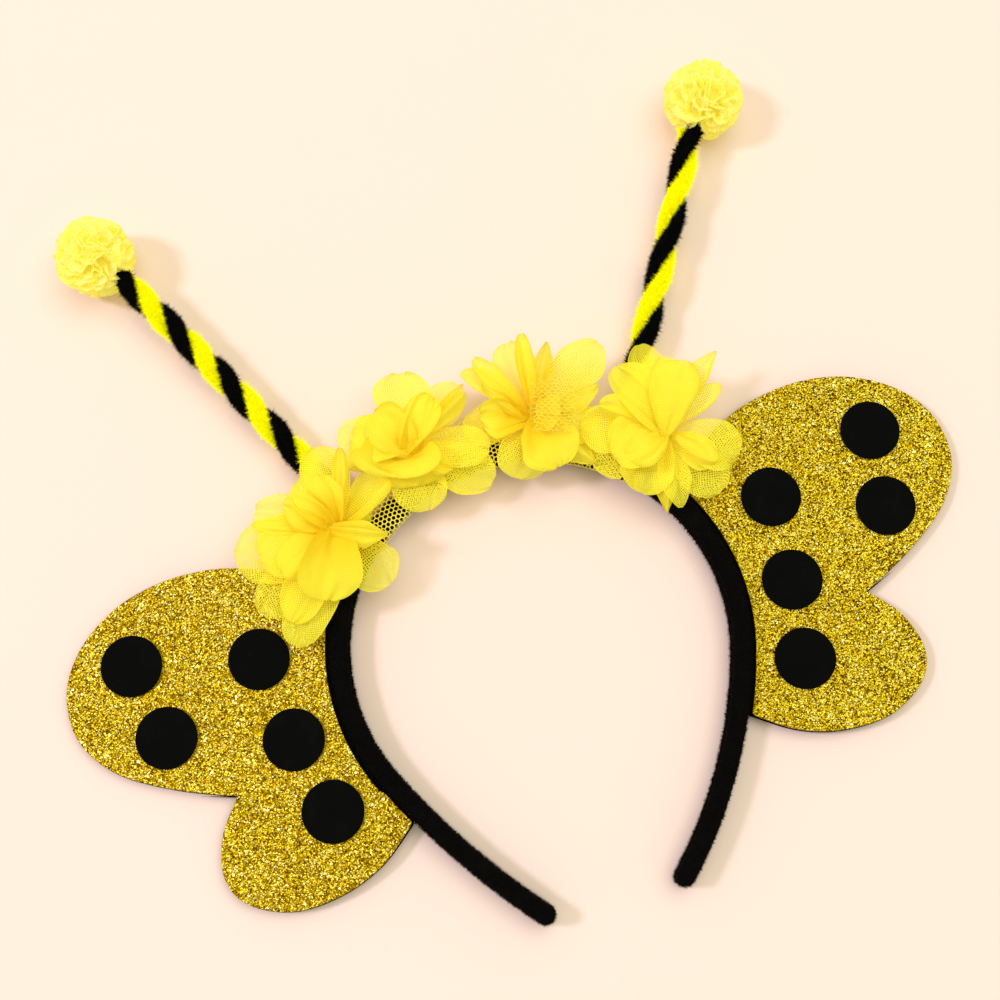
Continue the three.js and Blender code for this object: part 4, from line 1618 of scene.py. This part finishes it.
@dataclass
class Studio:
    """Cream floor, soft light from the left and the camera at the photograph's angle."""

    eye: Vector = field(default_factory=lambda: Vector((-25.65, -94.78, 438.5)))
    target: Vector = field(default_factory=lambda: Vector((1.4, 2.74, 0)))
    up: Vector = field(default_factory=lambda: Vector((0.2672, 0.9636, 0)))
    lens: float = 54.0

    def aimed(self, eye: Vector, target: Vector, up: Vector) -> Matrix:
        """A matrix that stands at a point and looks at another.

        Args:
            eye: where it stands.
            target: what it looks at.
            up: the way that is up in the picture.

        Returns:
            The matrix, in metres.
        """
        back = (eye - target).normalized()
        right = up.cross(back).normalized()
        turn = Matrix((right, back.cross(right), back)).transposed().to_4x4()
        return Matrix.Translation(eye * MM) @ turn

    def lamp(self, name: str, across: float, up: float, height: float, size: float, power: float,
             colour: tuple[float, float, float]) -> None:
        """Adds an area lamp aimed at the headband.

        Args:
            name: its name.
            across: towards the picture's right.
            up: towards the picture's top.
            height: above the floor.
            size: its side in metres.
            power: in watts.
            colour: of its light.
        """
        data = bpy.data.lights.new(name, "AREA")
        data.shape, data.size, data.energy, data.color = "DISK", size, power, colour
        right = Vector((self.up.y, -self.up.x, 0))
        eye = self.target + right * across + self.up * up + Vector((0, 0, height))
        lamp = bpy.data.objects.new(name, data)
        lamp.matrix_world = self.aimed(eye, self.target, Vector((0.1, 0.9, 0.2)))
        bpy.context.scene.collection.objects.link(lamp)

    def build(self, palette: Palette) -> None:
        """Makes the camera, lamps, world and floor.

        Args:
            palette: the finishes.
        """
        scene = bpy.context.scene
        data = bpy.data.cameras.new("camera")
        data.lens, data.sensor_width = self.lens, 36.0
        camera = bpy.data.objects.new("camera", data)
        camera.matrix_world = self.aimed(self.eye, self.target, self.up)
        scene.collection.objects.link(camera)
        scene.camera = camera
        self.lamp("key", -1700, 0, 2100, 0.46, 29.0, (0.9, 0.78, 1.0))
        self.lamp("fill", 500, 350, 2400, 2.4, 34.5, (0.98, 1.0, 0.88))
        world = bpy.data.worlds.new("studio")
        world.use_nodes = True
        world.node_tree.nodes["Background"].inputs[0].default_value = (0.97, 1.0, 0.76, 1)
        world.node_tree.nodes["Background"].inputs[1].default_value = 0.55
        scene.world = world
        scene.view_settings.view_transform = "Standard"
        bm = bmesh.new()
        bmesh.ops.create_grid(bm, x_segments=8, y_segments=8, size=3.0)
        mesh = bpy.data.meshes.new("floor")
        bm.to_mesh(mesh)
        bm.free()
        mesh.materials.append(palette.floor)
        mesh.transform(Matrix.Translation((0, 0, -0.0001)))
        floor = bpy.data.objects.new("floor", mesh)
        scene.collection.objects.link(floor)


def main() -> None:
    """Builds the studio and each sub-assembly in order, and reports every piece."""
    logging.basicConfig(level=logging.INFO, format="%(message)s")
    palette = Palette()
    Studio().build(palette)
    line = BandLine()
    antennae = [
        Antenna(line, "left", -1, 43.2, 28.8, 1.01, -0.007, 0.92, 1.56, shift=(2.3, 1.4), seed=3),
        Antenna(line, "right", 1, 39.5, 28.7, 0.99, 0.006, 1.33, 4.86, shift=(-2.6, -1.5), seed=4),
    ]
    # Each flower: name, sweep, share out across the ribbon, and the reach of its painted root shade.
    flowers = [("flower_1", -46.6, 0.31, 1.0), ("flower_2", -18.4, 0.43, 0.6), ("flower_3", 13.6, 0.3, 1.05),
               ("flower_4", 46.8, 0.6, 0.6)]
    assemblies = [
        Band(line),
        Wing(line, "left", -1, 94.3, -1.7, 58, 129.5, step=117.5),
        Wing(line, "right", 1, 90, 0, 54, 125),
        *antennae,
        *(Pompom(a.name, a.centre, -a.side * math.radians(a.lean), a.seed) for a in antennae),
        NetRibbon(line),
        *(Flower(line, name, sweep, out, PETALS[name], seed, depth)
          for seed, (name, sweep, out, depth) in enumerate(flowers, 1)),
    ]
    for assembly in assemblies:
        for piece in assembly.build(palette):
            faces = len(piece.data.polygons)
            LOG.info("%s: %s with %d faces", type(assembly).__name__, piece.name, faces)


if __name__ == "__main__":
    main()
